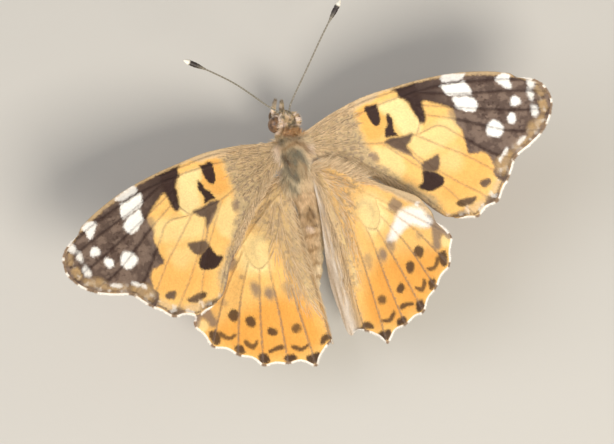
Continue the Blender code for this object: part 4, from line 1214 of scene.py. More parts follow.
# Lines and streaks on the back, seen from above: layer, line, width and strength
BODY_LINES = (
    ("brown", ((-0.9, 2.05), (0.0, 2.4), (0.8, 2.5), (1.5, 1.9), (2.05, 0.95)), 0.3, 0.85),
    ("dark", ((-1.3, 1.45), (-0.98, 0.75), (-0.7, 0.1)), 0.2, 1.0),
    ("olive", ((-1.75, -1.9), (-1.2, -2.8), (-0.9, -3.6), (-0.6, -5.0)), 0.35, 0.8),
    ("dark", ((1.7, 1.3), (2.0, 0.9)), 0.2, 0.6),
    ("brown", ((1.05, -0.5), (0.95, -1.4), (0.6, -2.1)), 0.18, 0.7),
    ("dark", ((-1.0, -0.6), (-0.75, -1.5), (-0.35, -2.2)), 0.2, 0.35),
    ("white", ((-1.7, 2.4), (-2.0, 1.0), (-2.5, -0.8)), 0.4, 0.6),
    ("white", ((2.3, 1.4), (2.5, 0.4), (2.2, -0.6)), 0.4, 0.55),
    ("dark", ((-0.1, -5.7), (0.0, -6.1), (0.1, -6.7)), 0.3, 1.0),
    ("dark", ((-0.5, -6.2), (-0.6, -6.8), (-0.3, -7.2)), 0.22, 0.85),
    ("dark", ((-0.25, -7.75), (0.05, -7.8)), 0.22, 1.0),
    ("white", ((-0.9, -7.85), (-0.6, -8.15)), 0.3, 0.7),
)


def abdomen_axis(y):
    """Sideways and upward place of the abdomen's line at each y."""
    line = smooth_line(ABDOMEN_LINE, 0.5)
    return np.interp(-y, -line[:, 1], line[:, 0]), np.interp(-y, -line[:, 1], line[:, 2])


def ring_share(y):
    """How far along its ring each place of the abdomen is, from 0 to 1."""
    share = (ABDOMEN_LINE[0][1] - y) / (ABDOMEN_LINE[0][1] - ABDOMEN_LINE[-1][1])
    return np.clip(share, 0.0, 0.999) * ABDOMEN_RINGS % 1.0


def eye_centre(side):
    """An eye's centre on the upright head."""
    return HEAD_CENTRE[0] + side * EYE_SIDE, EYE_CENTRE_Y, EYE_CENTRE_Z


def eye_reach(points, side):
    """Distance from an eye's centre, as a share of the eye's own size."""
    turn = np.array(Matrix.Rotation(math.radians(-HEAD_ROLL), 3, "Y"))
    upright = (points - np.array(HEAD_CENTRE)) @ turn.T + HEAD_CENTRE
    return np.linalg.norm((upright - eye_centre(side)) / EYE_RADII, axis=1)


def body_marks(points):
    """Masks of the body's markings, the same for the skin and for the coat."""
    marks = no_marks(len(points))
    x, y, z = points.T
    flat = points[:, :2]
    above = soft_step(-0.6, 0.6, z)
    thorax = soft_step(-3.9, -3.3, y) * soft_step(4.6, 4.2, y)
    head = soft_step(4.2, 4.7, y)
    marks["pale"] = thorax * 0.75
    cover(marks, thorax * soft_step(0.35, 0.7, mottle(points, 0.7, 33)), tan=0.5)
    upper = thorax * above
    back = upper * patch(flat, BACK_PATCH, 0.4)
    cover(marks, back, tan=-1.0, olive=0.95)
    cover(marks, back * soft_step(0.45, 0.75, mottle(points, 0.35, 36)), brown=0.2)
    cover(marks, upper * soft_step(2.6, 3.0, y) * soft_step(3.7, 3.3, y), olive=0.5)
    left = thorax * soft_step(-0.9, -1.7, x)
    cover(marks, left * soft_step(0.3, 0.6, mottle(points, 0.5, 37)), olive=0.55)
    rosy = upper * patch(flat, ROSY_PATCH, 0.3)
    cover(marks, rosy, tan=-1.0, olive=-0.5, brown=0.35)
    collar = patch(flat, COLLAR_PATCH, 0.3) * above
    cover(marks, collar, olive=-1.0, pale=-1.0, tan=-1.0, deep=1.0)
    cover(marks, collar, tan=0.3)
    for layer, line, width, strength in BODY_LINES:
        drawn = stripe(line_distance(flat, np.array(line)), width)
        cover(marks, drawn * above * (1.0 - head), **{layer: strength})
    abdomen_marks(marks, points, soft_step(-3.3, -3.9, y), above)
    head_marks(marks, points, head)
    cover(marks, soft_step(0.6, 0.85, mottle(points, 0.4, 32)), brown=0.3)
    return marks


def abdomen_marks(marks, points, abdomen, above):
    """Tan above and pale below, with a brown front part and a herringbone of brown and pale behind it."""
    y = points[:, 1]
    across = points[:, 0] - abdomen_axis(y)[0]
    upper = abdomen * above
    cover(marks, upper, tan=1.0)
    cover(marks, upper * soft_step(0.3, 0.7, mottle(points, 0.3, 38)), brown=0.4)
    cover(marks, abdomen * (1.0 - above), pale=0.9)
    front = upper * soft_step(-4.6, -5.8, y) * soft_step(-8.6, -7.4, y)
    cover(marks, front * soft_step(1.0, 0.5, np.abs(across)), brown=0.35)
    zigzag = np.abs(ring_share(y + 0.5 * np.abs(across % 0.9 - 0.45)) - 0.5)
    rows = abdomen * soft_step(-7.6, -8.4, y) * soft_step(1.3, 0.8, np.abs(across))
    cover(marks, rows * soft_step(0.3, 0.42, zigzag), brown=0.75)
    cover(marks, rows * soft_step(0.18, 0.08, zigzag), pale=0.6)


def head_marks(marks, points, head):
    """Tan and olive tufts mixed with rosy white ones, white round the eyes, and dark flecks."""
    cover(marks, head, tan=0.6)
    olive = head * soft_step(0.45, 0.65, mottle(points, 0.32, 31))
    cover(marks, olive, olive=0.75, tan=-0.8)
    front = 0.2 * soft_step(5.2, 6.0, points[:, 1] + 0.5 * points[:, 0])
    cover(marks, head * soft_step(0.7 - front, 0.85 - front, mottle(points, 0.34, 34)), white=0.7)
    cover(marks, head * soft_step(0.72, 0.82, mottle(points, 0.3, 35)), dark=0.6)
    for eye in SIDES.values():
        rim = soft_step(1.4, 1.2, eye_reach(points, eye)) * head
        cover(marks, rim, dark=-0.6)
        cover(marks, rim * soft_step(0.2, 0.4, mottle(points, 0.3, 39)), white=0.5 - 0.2 * eye)


def body_shells():
    """The plain closed shapes that the skin is grown from, inside the solids by the depth of the coat."""
    line = smooth_line(ABDOMEN_LINE, 0.15)
    share = np.linspace(0.0, 1.0, len(line))
    plain = np.interp(share, np.linspace(0.0, 1.0, len(ABDOMEN_RADII)), ABDOMEN_RADII)
    crease = 0.1 * np.abs(np.cos(math.pi * share * ABDOMEN_RINGS)) ** 6
    shells = [ball(THORAX_CENTRE, np.array(THORAX_RADII) - THORAX_COAT),
              swept(line, plain * (1.0 - crease) - ABDOMEN_COAT, 32)]
    shells += [ball(centre, radii) for centre, radii in JOINING_SHELLS]
    head, faces = ball(HEAD_CENTRE, np.array(HEAD_RADII) - HEAD_COAT)
    shells.append((head_roll(head), faces))
    for side in SIDES.values():
        for (middle, reach, y, z), radii in ROOT_SHELLS:
            shells.append(ball((middle + side * reach, y, z), radii))
    return shells


def grown_skin():
    """Places and triangles of one smooth skin over all the shells, in the body's frame."""
    places, faces = joined(body_shells())
    source = bpy.data.objects.new("shells", new_mesh("shells", places, faces, True))
    bpy.context.scene.collection.objects.link(source)
    remesh = source.modifiers.new("skin", "REMESH")
    remesh.mode = "VOXEL"
    remesh.voxel_size = SKIN_VOXEL
    smooth = source.modifiers.new("smooth", "SMOOTH")
    smooth.factor = 0.5
    smooth.iterations = 5
    evaluated = source.evaluated_get(bpy.context.evaluated_depsgraph_get())
    mesh = evaluated.to_mesh()
    mesh.calc_loop_triangles()
    skin = np.empty(len(mesh.vertices) * 3, np.float32)
    mesh.vertices.foreach_get("co", skin)
    triangles = np.empty(len(mesh.loop_triangles) * 3, np.int32)
    mesh.loop_triangles.foreach_get("vertices", triangles)
    evaluated.to_mesh_clear()
    bpy.data.objects.remove(source)
    return skin.reshape(-1, 3).astype(float), triangles.reshape(-1, 3)


def on_skin(skin, triangles, count, rng):
    """Random places on the skin, evenly spread, with their outward normals."""
    a, b, c = (skin[triangles[:, index]] for index in range(3))
    normals = np.cross(b - a, c - a)
    areas = np.linalg.norm(normals, axis=1)
    chosen = rng.choice(len(triangles), count, p=areas / areas.sum())
    s, t = rng.random((2, count, 1))
    root = np.sqrt(s)
    places = a[chosen] * (1.0 - root) + b[chosen] * root * (1.0 - t) + c[chosen] * root * t
    return places, unit(normals[chosen])


def coat_lie(places):
    """Direction and length of the coat at each place, blended from the guides near it."""
    guides = []
    for place, way, length in COAT_GUIDES:
        guides.append((place, way, length))
        if place[0] != 0.0 and place[1] > -6.0:
            guides.append(((-place[0], *place[1:]), (-way[0], *way[1:]), length))
    for place, way, length in HEAD_GUIDES:
        guides.append((head_roll([place])[0], head_roll([way], False)[0], length))
    homes, ways, lengths = (np.array([guide[index] for guide in guides], float) for index in range(3))
    weights = 1.0 / (((places[:, None] - homes[None]) ** 2).sum(2) + 0.1) ** 2
    weights /= weights.sum(1, keepdims=True)
    return unit(weights @ ways), weights @ lengths


def coat_unwrap(places):
    """The body's skin unrolled round its length onto a unit square."""
    side, height = abdomen_axis(places[:, 1])
    angle = np.arctan2(places[:, 0] - side, places[:, 2] - height)
    around = 0.5 + angle / math.tau
    return 0.02 + 0.96 * np.stack((around, (places[:, 1] + 16.0) / 24.0), axis=1)


def add_coat(name, nodes, places, normals, width, long, material, rng):
    """Fur over one part of the body."""
    ways, lengths = coat_lie(places)
    ways = unit(ways + rng.normal(0.0, 0.16, places.shape))
    into = (ways * normals).sum(1, keepdims=True)
    ways = unit(ways - normals * np.minimum(into - 0.22, 0.0))
    lengths = lengths * long * rng.uniform(0.7, 1.25, len(places))
    middles = places + ways * (lengths * 0.5)[:, None] + normals * 0.05
    tips = places + ways * lengths[:, None] - normals * (lengths * 0.08)[:, None]
    widths = width * rng.uniform(0.7, 1.3, len(places))
    shape = spikes(places - normals * 0.05, middles, tips, normals, widths)
    marks = body_marks(places + ways * (lengths * SHOWN_SHARE)[:, None])
    add_tufts(name, shape, marks, coat_unwrap(places), material, nodes, rng)


# Eyes, feelers, mouth and legs

def tube_hairs(line, radii, count, length, width, lean, rng):
    """Short hairs all round a tube, leaning towards its tip. Gives roots, middles, tips, ups and widths."""
    place = rng.uniform(0.0, len(line) - 1.001, count)
    low = place.astype(int)
    share = (place - low)[:, None]
    centre = line[low] * (1.0 - share) + line[low + 1] * share
    radius = np.interp(place, np.arange(len(line)), radii)[:, None]
    way = unit(line[low + 1] - line[low])
    outwards = rng.normal(0.0, 1.0, (count, 3))
    outwards = unit(outwards - way * (outwards * way).sum(1, keepdims=True))
    lengths = length * rng.uniform(0.7, 1.2, (count, 1))
    roots = centre + outwards * radius * 0.9
    run = unit(way + outwards * lean) * lengths
    middles = roots + run * 0.5 + outwards * 0.02
    return roots, middles, roots + run, outwards, width * rng.uniform(0.7, 1.3, count)


def add_tube_tufts(name, line, hairs, marks_of, node, material, rng, matrix=BODY):
    """A tube's coat of short hairs as one piece, unwrapped along and round the tube."""
    roots, _, _, ups, _ = hairs
    along = np.array([np.argmin(((line - root) ** 2).sum(1)) for root in roots]) / len(line)
    around = np.arctan2(ups[:, 0], ups[:, 2]) / math.tau + 0.5
    unwrapped = 0.03 + 0.94 * np.stack((along, around), axis=1)
    add_tufts(name, spikes(*hairs), marks_of(roots), unwrapped, material, [node], rng, matrix)


def add_eye(side, hand, material):
    points, faces = ball(eye_centre(side), EYE_RADII, 64, 44)
    new_piece(f"compound_eye_{hand}", head_roll(points), faces, material, [f"eye_{hand}"])


# The ring round an eye where the bristles stand: its reach in y and z, its distance from the head's middle,
# where on it the bristles are longest (in y and z), and how much longer they are there
RUFF_REACH = np.array((0.95, 1.05))
RUFF_COUNT = 520
RUFFS = {"left": (1.0, (-0.8, 0.6), 0.75), "right": (1.0, (-0.1, 1.0), 0.5)}


def ruff_marks(points):
    """Rosy white bristles by the left eye, tan and brown ones among them by the right."""
    marks = no_marks(len(points))
    marks["tan"] += 0.6
    right = 0.4 * soft_step(0.0, 0.8, points[:, 0])
    marks["white"] = soft_step(0.85, 0.55, mottle(points, 0.25, 44) + right) * 0.85
    cover(marks, soft_step(0.6, 0.8, mottle(points, 0.2, 43)), brown=0.7)
    return marks


def add_eye_ruff(side, hand, width, material, rng):
    """Bristles that stand round an eye and lean over its rim, longest behind the left and above the right."""
    out, longest, more = RUFFS[hand]
    count = RUFF_COUNT
    angle = rng.uniform(0.0, math.tau, count)
    ring = np.stack((np.cos(angle), np.sin(angle)), axis=1)
    here = np.clip(ring @ np.array(longest), 0.0, 1.0)[:, None]
    radial = np.hstack((np.zeros((count, 1)), ring))
    reach = ring * RUFF_REACH * rng.uniform(0.95, 1.12, (count, 1))
    middle = np.array((HEAD_CENTRE[0], EYE_CENTRE_Y, EYE_CENTRE_Z))
    roots = middle + np.hstack((np.full((count, 1), side * out), reach))
    sideways = np.array((side, 0.0, 0.0))
    ways = unit(sideways + radial * (0.35 - 0.1 * here) + rng.normal(0.0, 0.14, (count, 3)))
    run = ways * (0.24 + more * here) * rng.uniform(0.7, 1.25, (count, 1))
    middles, tips = roots + run * 0.5 + radial * 0.06, roots + run
    line = head_roll(np.array([HEAD_CENTRE, middle + sideways]))
    hairs = (head_roll(roots), head_roll(middles), head_roll(tips), head_roll(radial, False),
             width * rng.uniform(0.7, 1.2, count))
    add_tube_tufts(f"bristles_eye_{hand}", line, hairs, ruff_marks, "head", material, rng)


# A feeler's rings, the run from its tip over which it swells into the club, and the run of its pale tip
RING_LENGTH = 0.42
CLUB_RUN = (3.2, 1.4)
PALE_TIP = (0.85, 0.55)


def add_antenna(hand, shaft, club, material):
    """A ringed shaft that swells into a club, dark with pale joints and a cream tip."""
    line = smooth_line(ANTENNA_LINES[hand], 0.09)
    run = np.concatenate(([0.0], np.cumsum(np.linalg.norm(np.diff(line, axis=0), axis=1))))
    left = run[-1] - run
    swell = soft_step(*CLUB_RUN, left)
    joint = np.abs((run / RING_LENGTH) % 1.0 - 0.5) * 2.0
    radii = (shaft + (club - shaft) * swell) * (1.0 - 0.16 * soft_step(0.75, 1.0, joint))
    radii *= np.sqrt(np.clip(left / 0.5, 0.12, 1.0))
    points, faces = swept(line, radii, 12)
    rows = np.concatenate(([0], np.repeat(np.arange(len(line)), 12), [len(line) - 1]))
    marks = no_marks(len(points))
    marks["olive"] += 1.0
    marks["dark"] = np.maximum(0.3, swell)[rows]
    cover(marks, soft_step(1.4, 0.7, run)[rows], dark=0.9)
    cover(marks, (soft_step(0.7, 0.95, joint) * (1.0 - swell))[rows], white=0.3)
    tip = soft_step(*PALE_TIP, left)[rows]
    cover(marks, tip, dark=-1.0, white=1.0)
    new_piece(f"feeler_{hand}", points, faces, material, [f"antenna_{hand}"], marks)


def palp_marks(points):
    """Rosy white palps with tan and brown bristles and a dark olive tip."""
    marks = no_marks(len(points))
    tip = soft_step(6.9, 7.6, points[:, 1])
    marks["tan"] += 0.5
    marks["white"] = soft_step(0.7, 0.45, mottle(points, 0.3, 41)) * 0.85 * (1.0 - 0.85 * tip)
    cover(marks, soft_step(0.6, 0.9, mottle(points, 0.3, 42)), brown=0.5)
    cover(marks, tip, tan=-0.6, olive=0.9)
    cover(marks, soft_step(7.3, 7.9, points[:, 1]), dark=0.5)
    return marks


# How much of its line each palp's core reaches, its radii at shares of that, and its bristles' count,
# length and width as a share of a tuft's
PALP_SHARES = {"left": 0.95, "right": 0.82}
PALP_STATIONS = (0.0, 0.4, 0.75, 1.0)
PALP_RADII = (0.17, 0.18, 0.12, 0.04)
PALP_BRISTLES = (900, 0.75, 0.85)


def add_palp(side, hand, width, materials, rng):
    line = head_roll(smooth_line([(HEAD_CENTRE[0] + side * x, y, z) for x, y, z in PALP_LINE], 0.1))
    line = line[:int(len(line) * PALP_SHARES[hand])]
    radii = np.interp(np.linspace(0.0, 1.0, len(line)), PALP_STATIONS, PALP_RADII)
    points, faces = swept(line, radii, 14)
    new_piece(f"feeling_palp_{hand}", points, faces, materials["skin"], [f"palp_{hand}"],
              palp_marks(points))
    count, length, share = PALP_BRISTLES
    hairs = tube_hairs(line, radii, count, length, width * share, 0.22, rng)
    add_tube_tufts(f"bristles_palp_{hand}", line, hairs, palp_marks, f"palp_{hand}",
                   materials["fur"], rng)


TONGUE_RADII = (0.17, 0.1)


def add_proboscis(material):
    """The tongue, two grooved halves joined into a tube and coiled under the head."""
    turns = np.linspace(0.0, 1.0, 150)
    angle = math.radians(COIL_START) - turns * COIL_TURNS * math.tau
    radius = COIL_OUTER + (COIL_INNER - COIL_OUTER) * turns
    coil = np.stack((np.full(len(turns), HEAD_CENTRE[0]), COIL_CENTRE[0] + radius * np.cos(angle),
                     COIL_CENTRE[1] + radius * np.sin(angle)), axis=1)
    root = np.linspace((HEAD_CENTRE[0], *TONGUE_ROOT), coil[0], 10)[:-1]
    line = head_roll(np.vstack((root, coil)))
    radii = np.linspace(*TONGUE_RADII, len(line)) * (1.0 - 0.1 * (np.arange(len(line)) % 3 == 0))
    points, faces = swept(line, radii, 14)
    marks = no_marks(len(points))
    marks["brown"] += 0.8
    new_piece("coiled_tongue", points, faces, material, ["proboscis"], marks)


def leg_marks(points):
    """Pale buff legs, browner towards the feet and mottled."""
    marks = no_marks(len(points))
    marks["brown"] = soft_step(3.0, 0.0, points[:, 2]) * 0.5
    cover(marks, soft_step(0.55, 0.8, mottle(points, 0.5, 51)), brown=0.4)
    return marks


# Radii at the joints of the walking legs and of the forelegs, from the root to the foot's last joint
LEG_GIRTHS = (0.3, 0.33, 0.2, 0.2, 0.16, 0.14, 0.1, 0.13)
FORELEG_GIRTHS = (0.24, 0.26, 0.18, 0.17, 0.15, 0.12, 0.1, 0.1)
FOOT_JOINTS = 5
# Spines of the tibia and of the foot: count, length, width and lean
SPINES = (26, 0.42, 0.08, 0.8)
FOOT_SPINES = (30, 0.22, 0.06, 1.0)
FOOT_RADIUS = 0.11
# A claw's bend and tip: how far on from the foot, to the side and up they lie
CLAW_PLACES = ((0.22, 0.14, 0.05), (0.42, 0.2, -0.1))
# Short scales of a leg: count and length
LEG_SCALES = (1100, 0.22)


def leg_sections(path, girths):
    """Coxa to femur, tibia, and the five joints of the tarsus, each as a line with its radii."""
    sections = [(smooth_line(path[:3], 0.12), girths[:3]), (smooth_line(path[2:5], 0.12), girths[3:6])]
    if len(path) > 5:
        foot = smooth_line(path[4:], 0.1)
        cuts = np.linspace(0, len(foot) - 1, FOOT_JOINTS + 1).astype(int)
        sections += [(foot[a:b + 1], girths[6:]) for a, b in zip(cuts, cuts[1:])]
    return [(line, np.interp(np.linspace(0.0, 1.0, len(line)), np.linspace(0.0, 1.0, len(radii)), radii))
            for line, radii in sections if len(line) > 2]


def chained(lines):
    """Lines that follow each other, as one line without the repeated joints."""
    return np.vstack([line[:-1] for line in lines[:-1]] + [lines[-1]])


def foot_claws(foot):
    """The two bent claws at the end of a foot."""
    tip, way = foot[-1], unit(foot[-1] - foot[-4])
    across = unit(np.cross(way, (0.0, 0.0, 1.0)))
    claws = []
    for side in SIDES.values():
        places = [tip]
        places += [tip + way * on + across * side * out + (0.0, 0.0, up) for on, out, up in CLAW_PLACES]
        claw = smooth_line(places, 0.06)
        claws.append(swept(claw, np.linspace(0.05, 0.015, len(claw)), 8))
    return claws


def add_leg(name, node, path, girths, standing, materials, width, rng):
    """A leg with its coat of short scales, and, on the walking legs, its spines and claws."""
    matrix = STANCE if standing else BODY
    sections = leg_sections(path, girths)
    (thigh, thigh_radii), (tibia, tibia_radii) = sections[:2]
    parts = [swept(line, radii, 14) for line, radii in sections]
    if standing:
        parts.append(spikes(*tube_hairs(tibia, tibia_radii, *SPINES, rng))[:2])
        foot = chained([line for line, _ in sections[2:]])
        hairs = tube_hairs(foot, np.full(len(foot), FOOT_RADIUS), *FOOT_SPINES, rng)
        off_floor = hairs[2][:, 2] > 0.02
        parts.append(spikes(*(part[off_floor] for part in hairs))[:2])
        parts += foot_claws(foot)
    points, faces = joined(parts)
    points[:, 2] = np.maximum(points[:, 2], 0.0) if standing else points[:, 2]
    new_piece(name, points, faces, materials["cuticle"], [node], leg_marks(points), matrix=matrix)
    line = chained([thigh, tibia])
    radii = np.concatenate((thigh_radii[:-1], tibia_radii))
    hairs = tube_hairs(line, radii, *LEG_SCALES, width, 0.25, rng)
    add_tube_tufts(f"scales_{name}", line, hairs, leg_marks, node, materials["fur"], rng, matrix)


# Properties and operators

def colour(name, description, hex_colour):
    return bpy.props.FloatVectorProperty(name=name, description=description, size=3, subtype="COLOR",
                                         min=0.0, max=1.0, default=linear(hex_colour))


def length(name, description, millimetres):
    return bpy.props.FloatProperty(name=name, description=description, default=millimetres * MM, min=0.0,
                                   precision=5, unit="LENGTH")


class ButterflySizes(bpy.types.PropertyGroup):
    """Sizes of the small things that cover the butterfly."""
    scale_spacing: length("Scale spacing", "Distance between the scales of the upper wings", 0.145)
    under_spacing: length("Under spacing", "Distance between the scales of the under wings", 0.2)
    scale_length: length("Scale length", "Length of a scale of the upper wings", 0.3)
    scale_width: length("Scale width", "Width of a scale of the upper wings", 0.185)
    fringe_length: length("Fringe length", "Length of the scales round the wings' margin", 0.46)
    hair_width: length("Hair width", "Width of a tuft of hair", 0.07)
    shaft_radius: length("Shaft radius", "Radius of a feeler's shaft", 0.1)
    club_radius: length("Club radius", "Radius of a feeler's club", 0.33)
    coat_share: bpy.props.FloatProperty(
        name="Coat length", description="Length of the body's fur, as a share", default=1.0, min=0.2, max=2.0,
        subtype="FACTOR")
    tufts: bpy.props.IntProperty(
        name="Tufts", description="Number of tufts in the body's fur", default=30000, min=1000, max=50000)


# Colours of each group of surfaces: its title, its ground, then the layers in their own order. In the fur,
# deep is the orange-brown collar. Under the hindwing, deep is the eyespots' slate blue and tan their rings
PAINTS = {
    "upper": (
        "Upper wings", "F3C474", "EBA84C", "F6DE9E", "C4AC82", "D8BC92", "3E2C26", "8A7566", "F8F4EC"),
    "rosy": (
        "Under forewings", "E58E62", "DE7A58", "F3C69C", "DDA07C", "DCCBA6", "3E302C", "8D7A5A", "F6F1E6"),
    "marbled": (
        "Under hindwings", "D9C7A0", "7C8896", "E9DCC0", "8E7A54", "D2A24E", "4C3D2C", "7A6244", "F2EADB"),
    "fur": (
        "Fur and hair", "C8B48E", "E2B67C", "EBD6B0", "79725F", "E2C49A", "54402E", "A8855A", "F0DCCB"),
    "horn": (
        "Feelers and legs", "CDB793", "A8713C", "E5D9BE", "8A8270", "B8976A", "2E2420", "6E5138", "EDE6D6"),
}


def paint_properties():
    """A colour property for the ground and for each layer of each group of surfaces."""
    made = {}
    for group, (title, *shades) in PAINTS.items():
        for layer, shade in zip(("ground",) + LAYERS, shades):
            description = f"Colour of the {layer} parts of the {title.lower()}"
            made[f"{group}_{layer}"] = colour(f"{title}: {layer}", description, shade)
    return made


class ButterflyColours(bpy.types.PropertyGroup):
    """Colours of the butterfly and of the floor."""
    eye_light: colour("Light of the eye", "Lighter brown of the eyes", "8A6644")
    eye_dark: colour("Dark of the eye", "Darker brown of the eyes", "4A3220")
    board: colour("Board", "The floor", "C2BEB6")


ButterflyColours.__annotations__.update(paint_properties())


class BUTTERFLY_OT_membranes(bpy.types.Operator):
    """Make the four wings' membranes, with raised veins"""
    bl_idname = "butterfly.membranes"
    bl_label = "Membranes"

    def execute(self, context):
        upper, under = wing_materials(membrane_material, "chitin_membrane")
        for name in WING_POSES:
            add_membrane(name, (upper, under[wing_kind(name)]))
        return {"FINISHED"}


class BUTTERFLY_OT_scales(bpy.types.Operator):
    """Cover both faces of the wings with scales"""
    bl_idname = "butterfly.scales"
    bl_label = "Wing scales"

    def execute(self, context):
        sizes = context.scene.butterfly_sizes
        upper, under = wing_materials(scale_material, "chitin_scales")
        for name in WING_POSES:
            add_scales(name, 1.0, sizes.scale_spacing / MM, sizes, upper)
            add_scales(name, -1.0, sizes.under_spacing / MM, sizes, under[wing_kind(name)])
            add_fringe(name, sizes.fringe_length / MM, upper)
        return {"FINISHED"}


class BUTTERFLY_OT_wing_hair(bpy.types.Operator):
    """Lay long hair along the inner part of the wings"""
    bl_idname = "butterfly.wing_hair"
    bl_label = "Wing hair"

    def execute(self, context):
        material = fur_material("setae_wing_hair")
        for name in WING_POSES:
            add_wing_hair(name, context.scene.butterfly_sizes.hair_width / MM, material)
        return {"FINISHED"}


class BUTTERFLY_OT_body(bpy.types.Operator):
    """Grow one skin over head, thorax and abdomen, and cover it with fur"""
    bl_idname = "butterfly.body"
    bl_label = "Body and coat"

    def execute(self, context):
        sizes = context.scene.butterfly_sizes
        rng = np.random.default_rng(SEED)
        skin, triangles = grown_skin()
        if len(triangles) == 0:
            raise RuntimeError("the skin came out empty")
        nodes = ["head", "thorax", "abdomen"]
        new_piece("skin", skin, triangles, cuticle_material("cuticle_skin", "fur", 0.75), nodes,
                  body_marks(skin))
        places, normals = on_skin(skin, triangles, sizes.tufts, rng)
        bare = (eye_reach(places, -1.0) < 1.0) | (eye_reach(places, 1.0) < 1.0)
        fur = fur_material("setae_fur")
        head, abdomen = places[:, 1] > HEAD_START, places[:, 1] < ABDOMEN_START
        for node, part in (("head", head), ("abdomen", abdomen), ("thorax", ~head & ~abdomen)):
            part = part & ~bare
            add_coat(f"coat_{node}", [node], places[part], normals[part], sizes.hair_width / MM,
                     sizes.coat_share, fur, rng)
        return {"FINISHED"}


class BUTTERFLY_OT_face(bpy.types.Operator):
    """Make the eyes, the palps, the feelers and the coiled tongue"""
    bl_idname = "butterfly.face"
    bl_label = "Eyes, feelers and mouth"

    def execute(self, context):
        sizes = context.scene.butterfly_sizes
        rng = np.random.default_rng(SEED + 1)
        cornea = cornea_material("cornea_eye")
        horn = cuticle_material("cuticle_feelers", "horn", 0.5)
        materials = {"skin": cuticle_material("cuticle_palps", "fur", 0.7),
                     "fur": fur_material("setae_bristles")}
        for hand, side in SIDES.items():
            add_eye(side, hand, cornea)
            add_eye_ruff(side, hand, sizes.hair_width / MM * 0.8, materials["fur"], rng)
            add_antenna(hand, sizes.shaft_radius / MM, sizes.club_radius / MM, horn)
            add_palp(side, hand, sizes.hair_width / MM, materials, rng)
        add_proboscis(cuticle_material("cuticle_tongue", "horn", 0.35))
        return {"FINISHED"}


class BUTTERFLY_OT_legs(bpy.types.Operator):
    """Make the four walking legs and the two small folded forelegs"""
    bl_idname = "butterfly.legs"
    bl_label = "Legs"

    def execute(self, context):
        rng = np.random.default_rng(SEED + 2)
        materials = {"cuticle": cuticle_material("cuticle_legs", "horn", 0.55),
                     "fur": fur_material("scales_legs", "horn")}
        width = context.scene.butterfly_sizes.hair_width / MM
        for hand, side in SIDES.items():
            for kind, path in LEG_PATHS.items():
                path = [(side * x, y, z) for x, y, z in path]
                add_leg(f"walking_{kind}_{hand}", f"{kind}_{hand}", path, LEG_GIRTHS, True, materials,
                        width, rng)
            path = [(side * x, y, z) for x, y, z in FORELEG_PATH]
            add_leg(f"folded_foreleg_{hand}", f"foreleg_{hand}", path, FORELEG_GIRTHS, False, materials,
                    width, rng)
        return {"FINISHED"}


# The photograph's camera, in the body's frame: its axes, its place in them, and pixels to the millimetre
CAMERA_RIGHT = (0.9525, -0.3019, -0.0392)
CAMERA_UP = (0.3044, 0.9471, 0.1020)
CAMERA_BACK = (0.0064, -0.1091, 0.9940)
CAMERA_PLACE = (1.2467, -6.839, 450.0)
PIXELS_PER_MM = 8.2234
PHOTO_WIDTH = 614.0
SENSOR_WIDTH = 36.0


def add_camera():
    axes = Matrix((CAMERA_RIGHT, CAMERA_UP, CAMERA_BACK)).transposed()
    data = bpy.data.cameras.new("camera")
    data.sensor_width = SENSOR_WIDTH
    data.lens = PIXELS_PER_MM * CAMERA_PLACE[2] * SENSOR_WIDTH / PHOTO_WIDTH
    data.clip_start = 0.01
    camera = bpy.data.objects.new("camera", data)
    camera.matrix_world = BODY @ Matrix.Translation(axes @ Vector(CAMERA_PLACE) * MM) @ axes.to_4x4()
    bpy.context.scene.collection.objects.link(camera)
    bpy.context.scene.camera = camera


def add_light(name, place, size, power, tint):
    """A soft square lamp that faces the butterfly."""
    data = bpy.data.lights.new(name, "AREA")
    data.size = size
    data.energy = power
    data.color = linear(tint)
    lamp = bpy.data.objects.new(name, data)
    lamp.location = place
    lamp.rotation_euler = (Vector(place)).to_track_quat("Z", "Y").to_euler()
    bpy.context.scene.collection.objects.link(lamp)


FLOOR_HALF = 1.5
# The soft lamps: place, size, power and colour
LIGHTS = {
    "key": ((0.06, -0.37, 0.41), 0.2, 3.1, "FFFAF2"),
    "fill": ((-0.45, 0.1, 0.5), 0.6, 2.0, "F4F6FF"),
}
STUDIO_COLOUR = "F4F3F0"
STUDIO_STRENGTH = 0.42


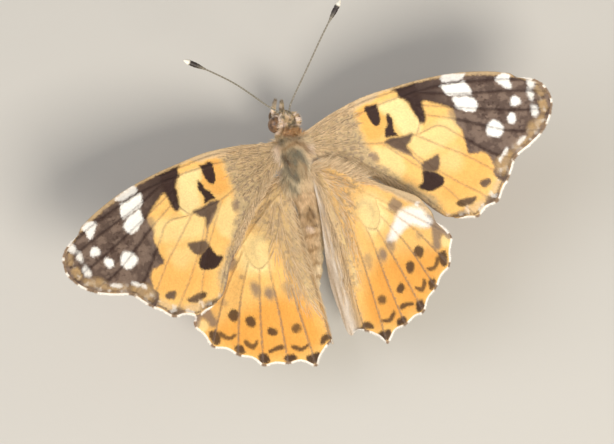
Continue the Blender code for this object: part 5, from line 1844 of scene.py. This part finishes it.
class BUTTERFLY_OT_stage(bpy.types.Operator):
    """Set the camera, the floor and the soft lights"""
    bl_idname = "butterfly.stage"
    bl_label = "Stage"

    def execute(self, context):
        add_camera()
        corners = np.array([(-1, -1, 0), (1, -1, 0), (1, 1, 0), (-1, 1, 0)], float) * FLOOR_HALF
        mesh = new_mesh("floor", corners, np.array(((0, 1, 2), (0, 2, 3))), False)
        mesh.materials.append(board_material())
        floor = bpy.data.objects.new("floor", mesh)
        context.scene.collection.objects.link(floor)
        for name, (place, size, power, tint) in LIGHTS.items():
            add_light(name, place, size, power, tint)
        world = bpy.data.worlds.new("studio")
        world.use_nodes = True
        background = world.node_tree.nodes["Background"]
        background.inputs["Color"].default_value = (*linear(STUDIO_COLOUR), 1.0)
        background.inputs["Strength"].default_value = STUDIO_STRENGTH
        context.scene.world = world
        context.scene.view_settings.view_transform = "Standard"
        return {"FINISHED"}


class BUTTERFLY_PT_panel(bpy.types.Panel):
    """Sidebar panel with the steps, the sizes and the colours"""
    bl_idname = "BUTTERFLY_PT_panel"
    bl_label = "Painted lady"
    bl_space_type = "VIEW_3D"
    bl_region_type = "UI"
    bl_category = "Butterfly"

    def draw(self, context):
        for operator in STEPS:
            self.layout.operator(operator.bl_idname)
        for group in (context.scene.butterfly_sizes, context.scene.butterfly_colours):
            box = self.layout.box()
            for name in type(group).__annotations__:
                box.prop(group, name)


STEPS = (BUTTERFLY_OT_membranes, BUTTERFLY_OT_scales, BUTTERFLY_OT_wing_hair, BUTTERFLY_OT_body,
         BUTTERFLY_OT_face, BUTTERFLY_OT_legs, BUTTERFLY_OT_stage)
CLASSES = (ButterflySizes, ButterflyColours) + STEPS + (BUTTERFLY_PT_panel,)


def register():
    for made in CLASSES:
        bpy.utils.register_class(made)
    bpy.types.Scene.butterfly_sizes = bpy.props.PointerProperty(type=ButterflySizes)
    bpy.types.Scene.butterfly_colours = bpy.props.PointerProperty(type=ButterflyColours)


def unregister():
    del bpy.types.Scene.butterfly_colours
    del bpy.types.Scene.butterfly_sizes
    for made in reversed(CLASSES):
        bpy.utils.unregister_class(made)


def main():
    register()
    bpy.ops.butterfly.membranes()
    bpy.ops.butterfly.scales()
    bpy.ops.butterfly.wing_hair()
    bpy.ops.butterfly.body()
    bpy.ops.butterfly.face()
    bpy.ops.butterfly.legs()
    bpy.ops.butterfly.stage()


if __name__ == "__main__":
    main()
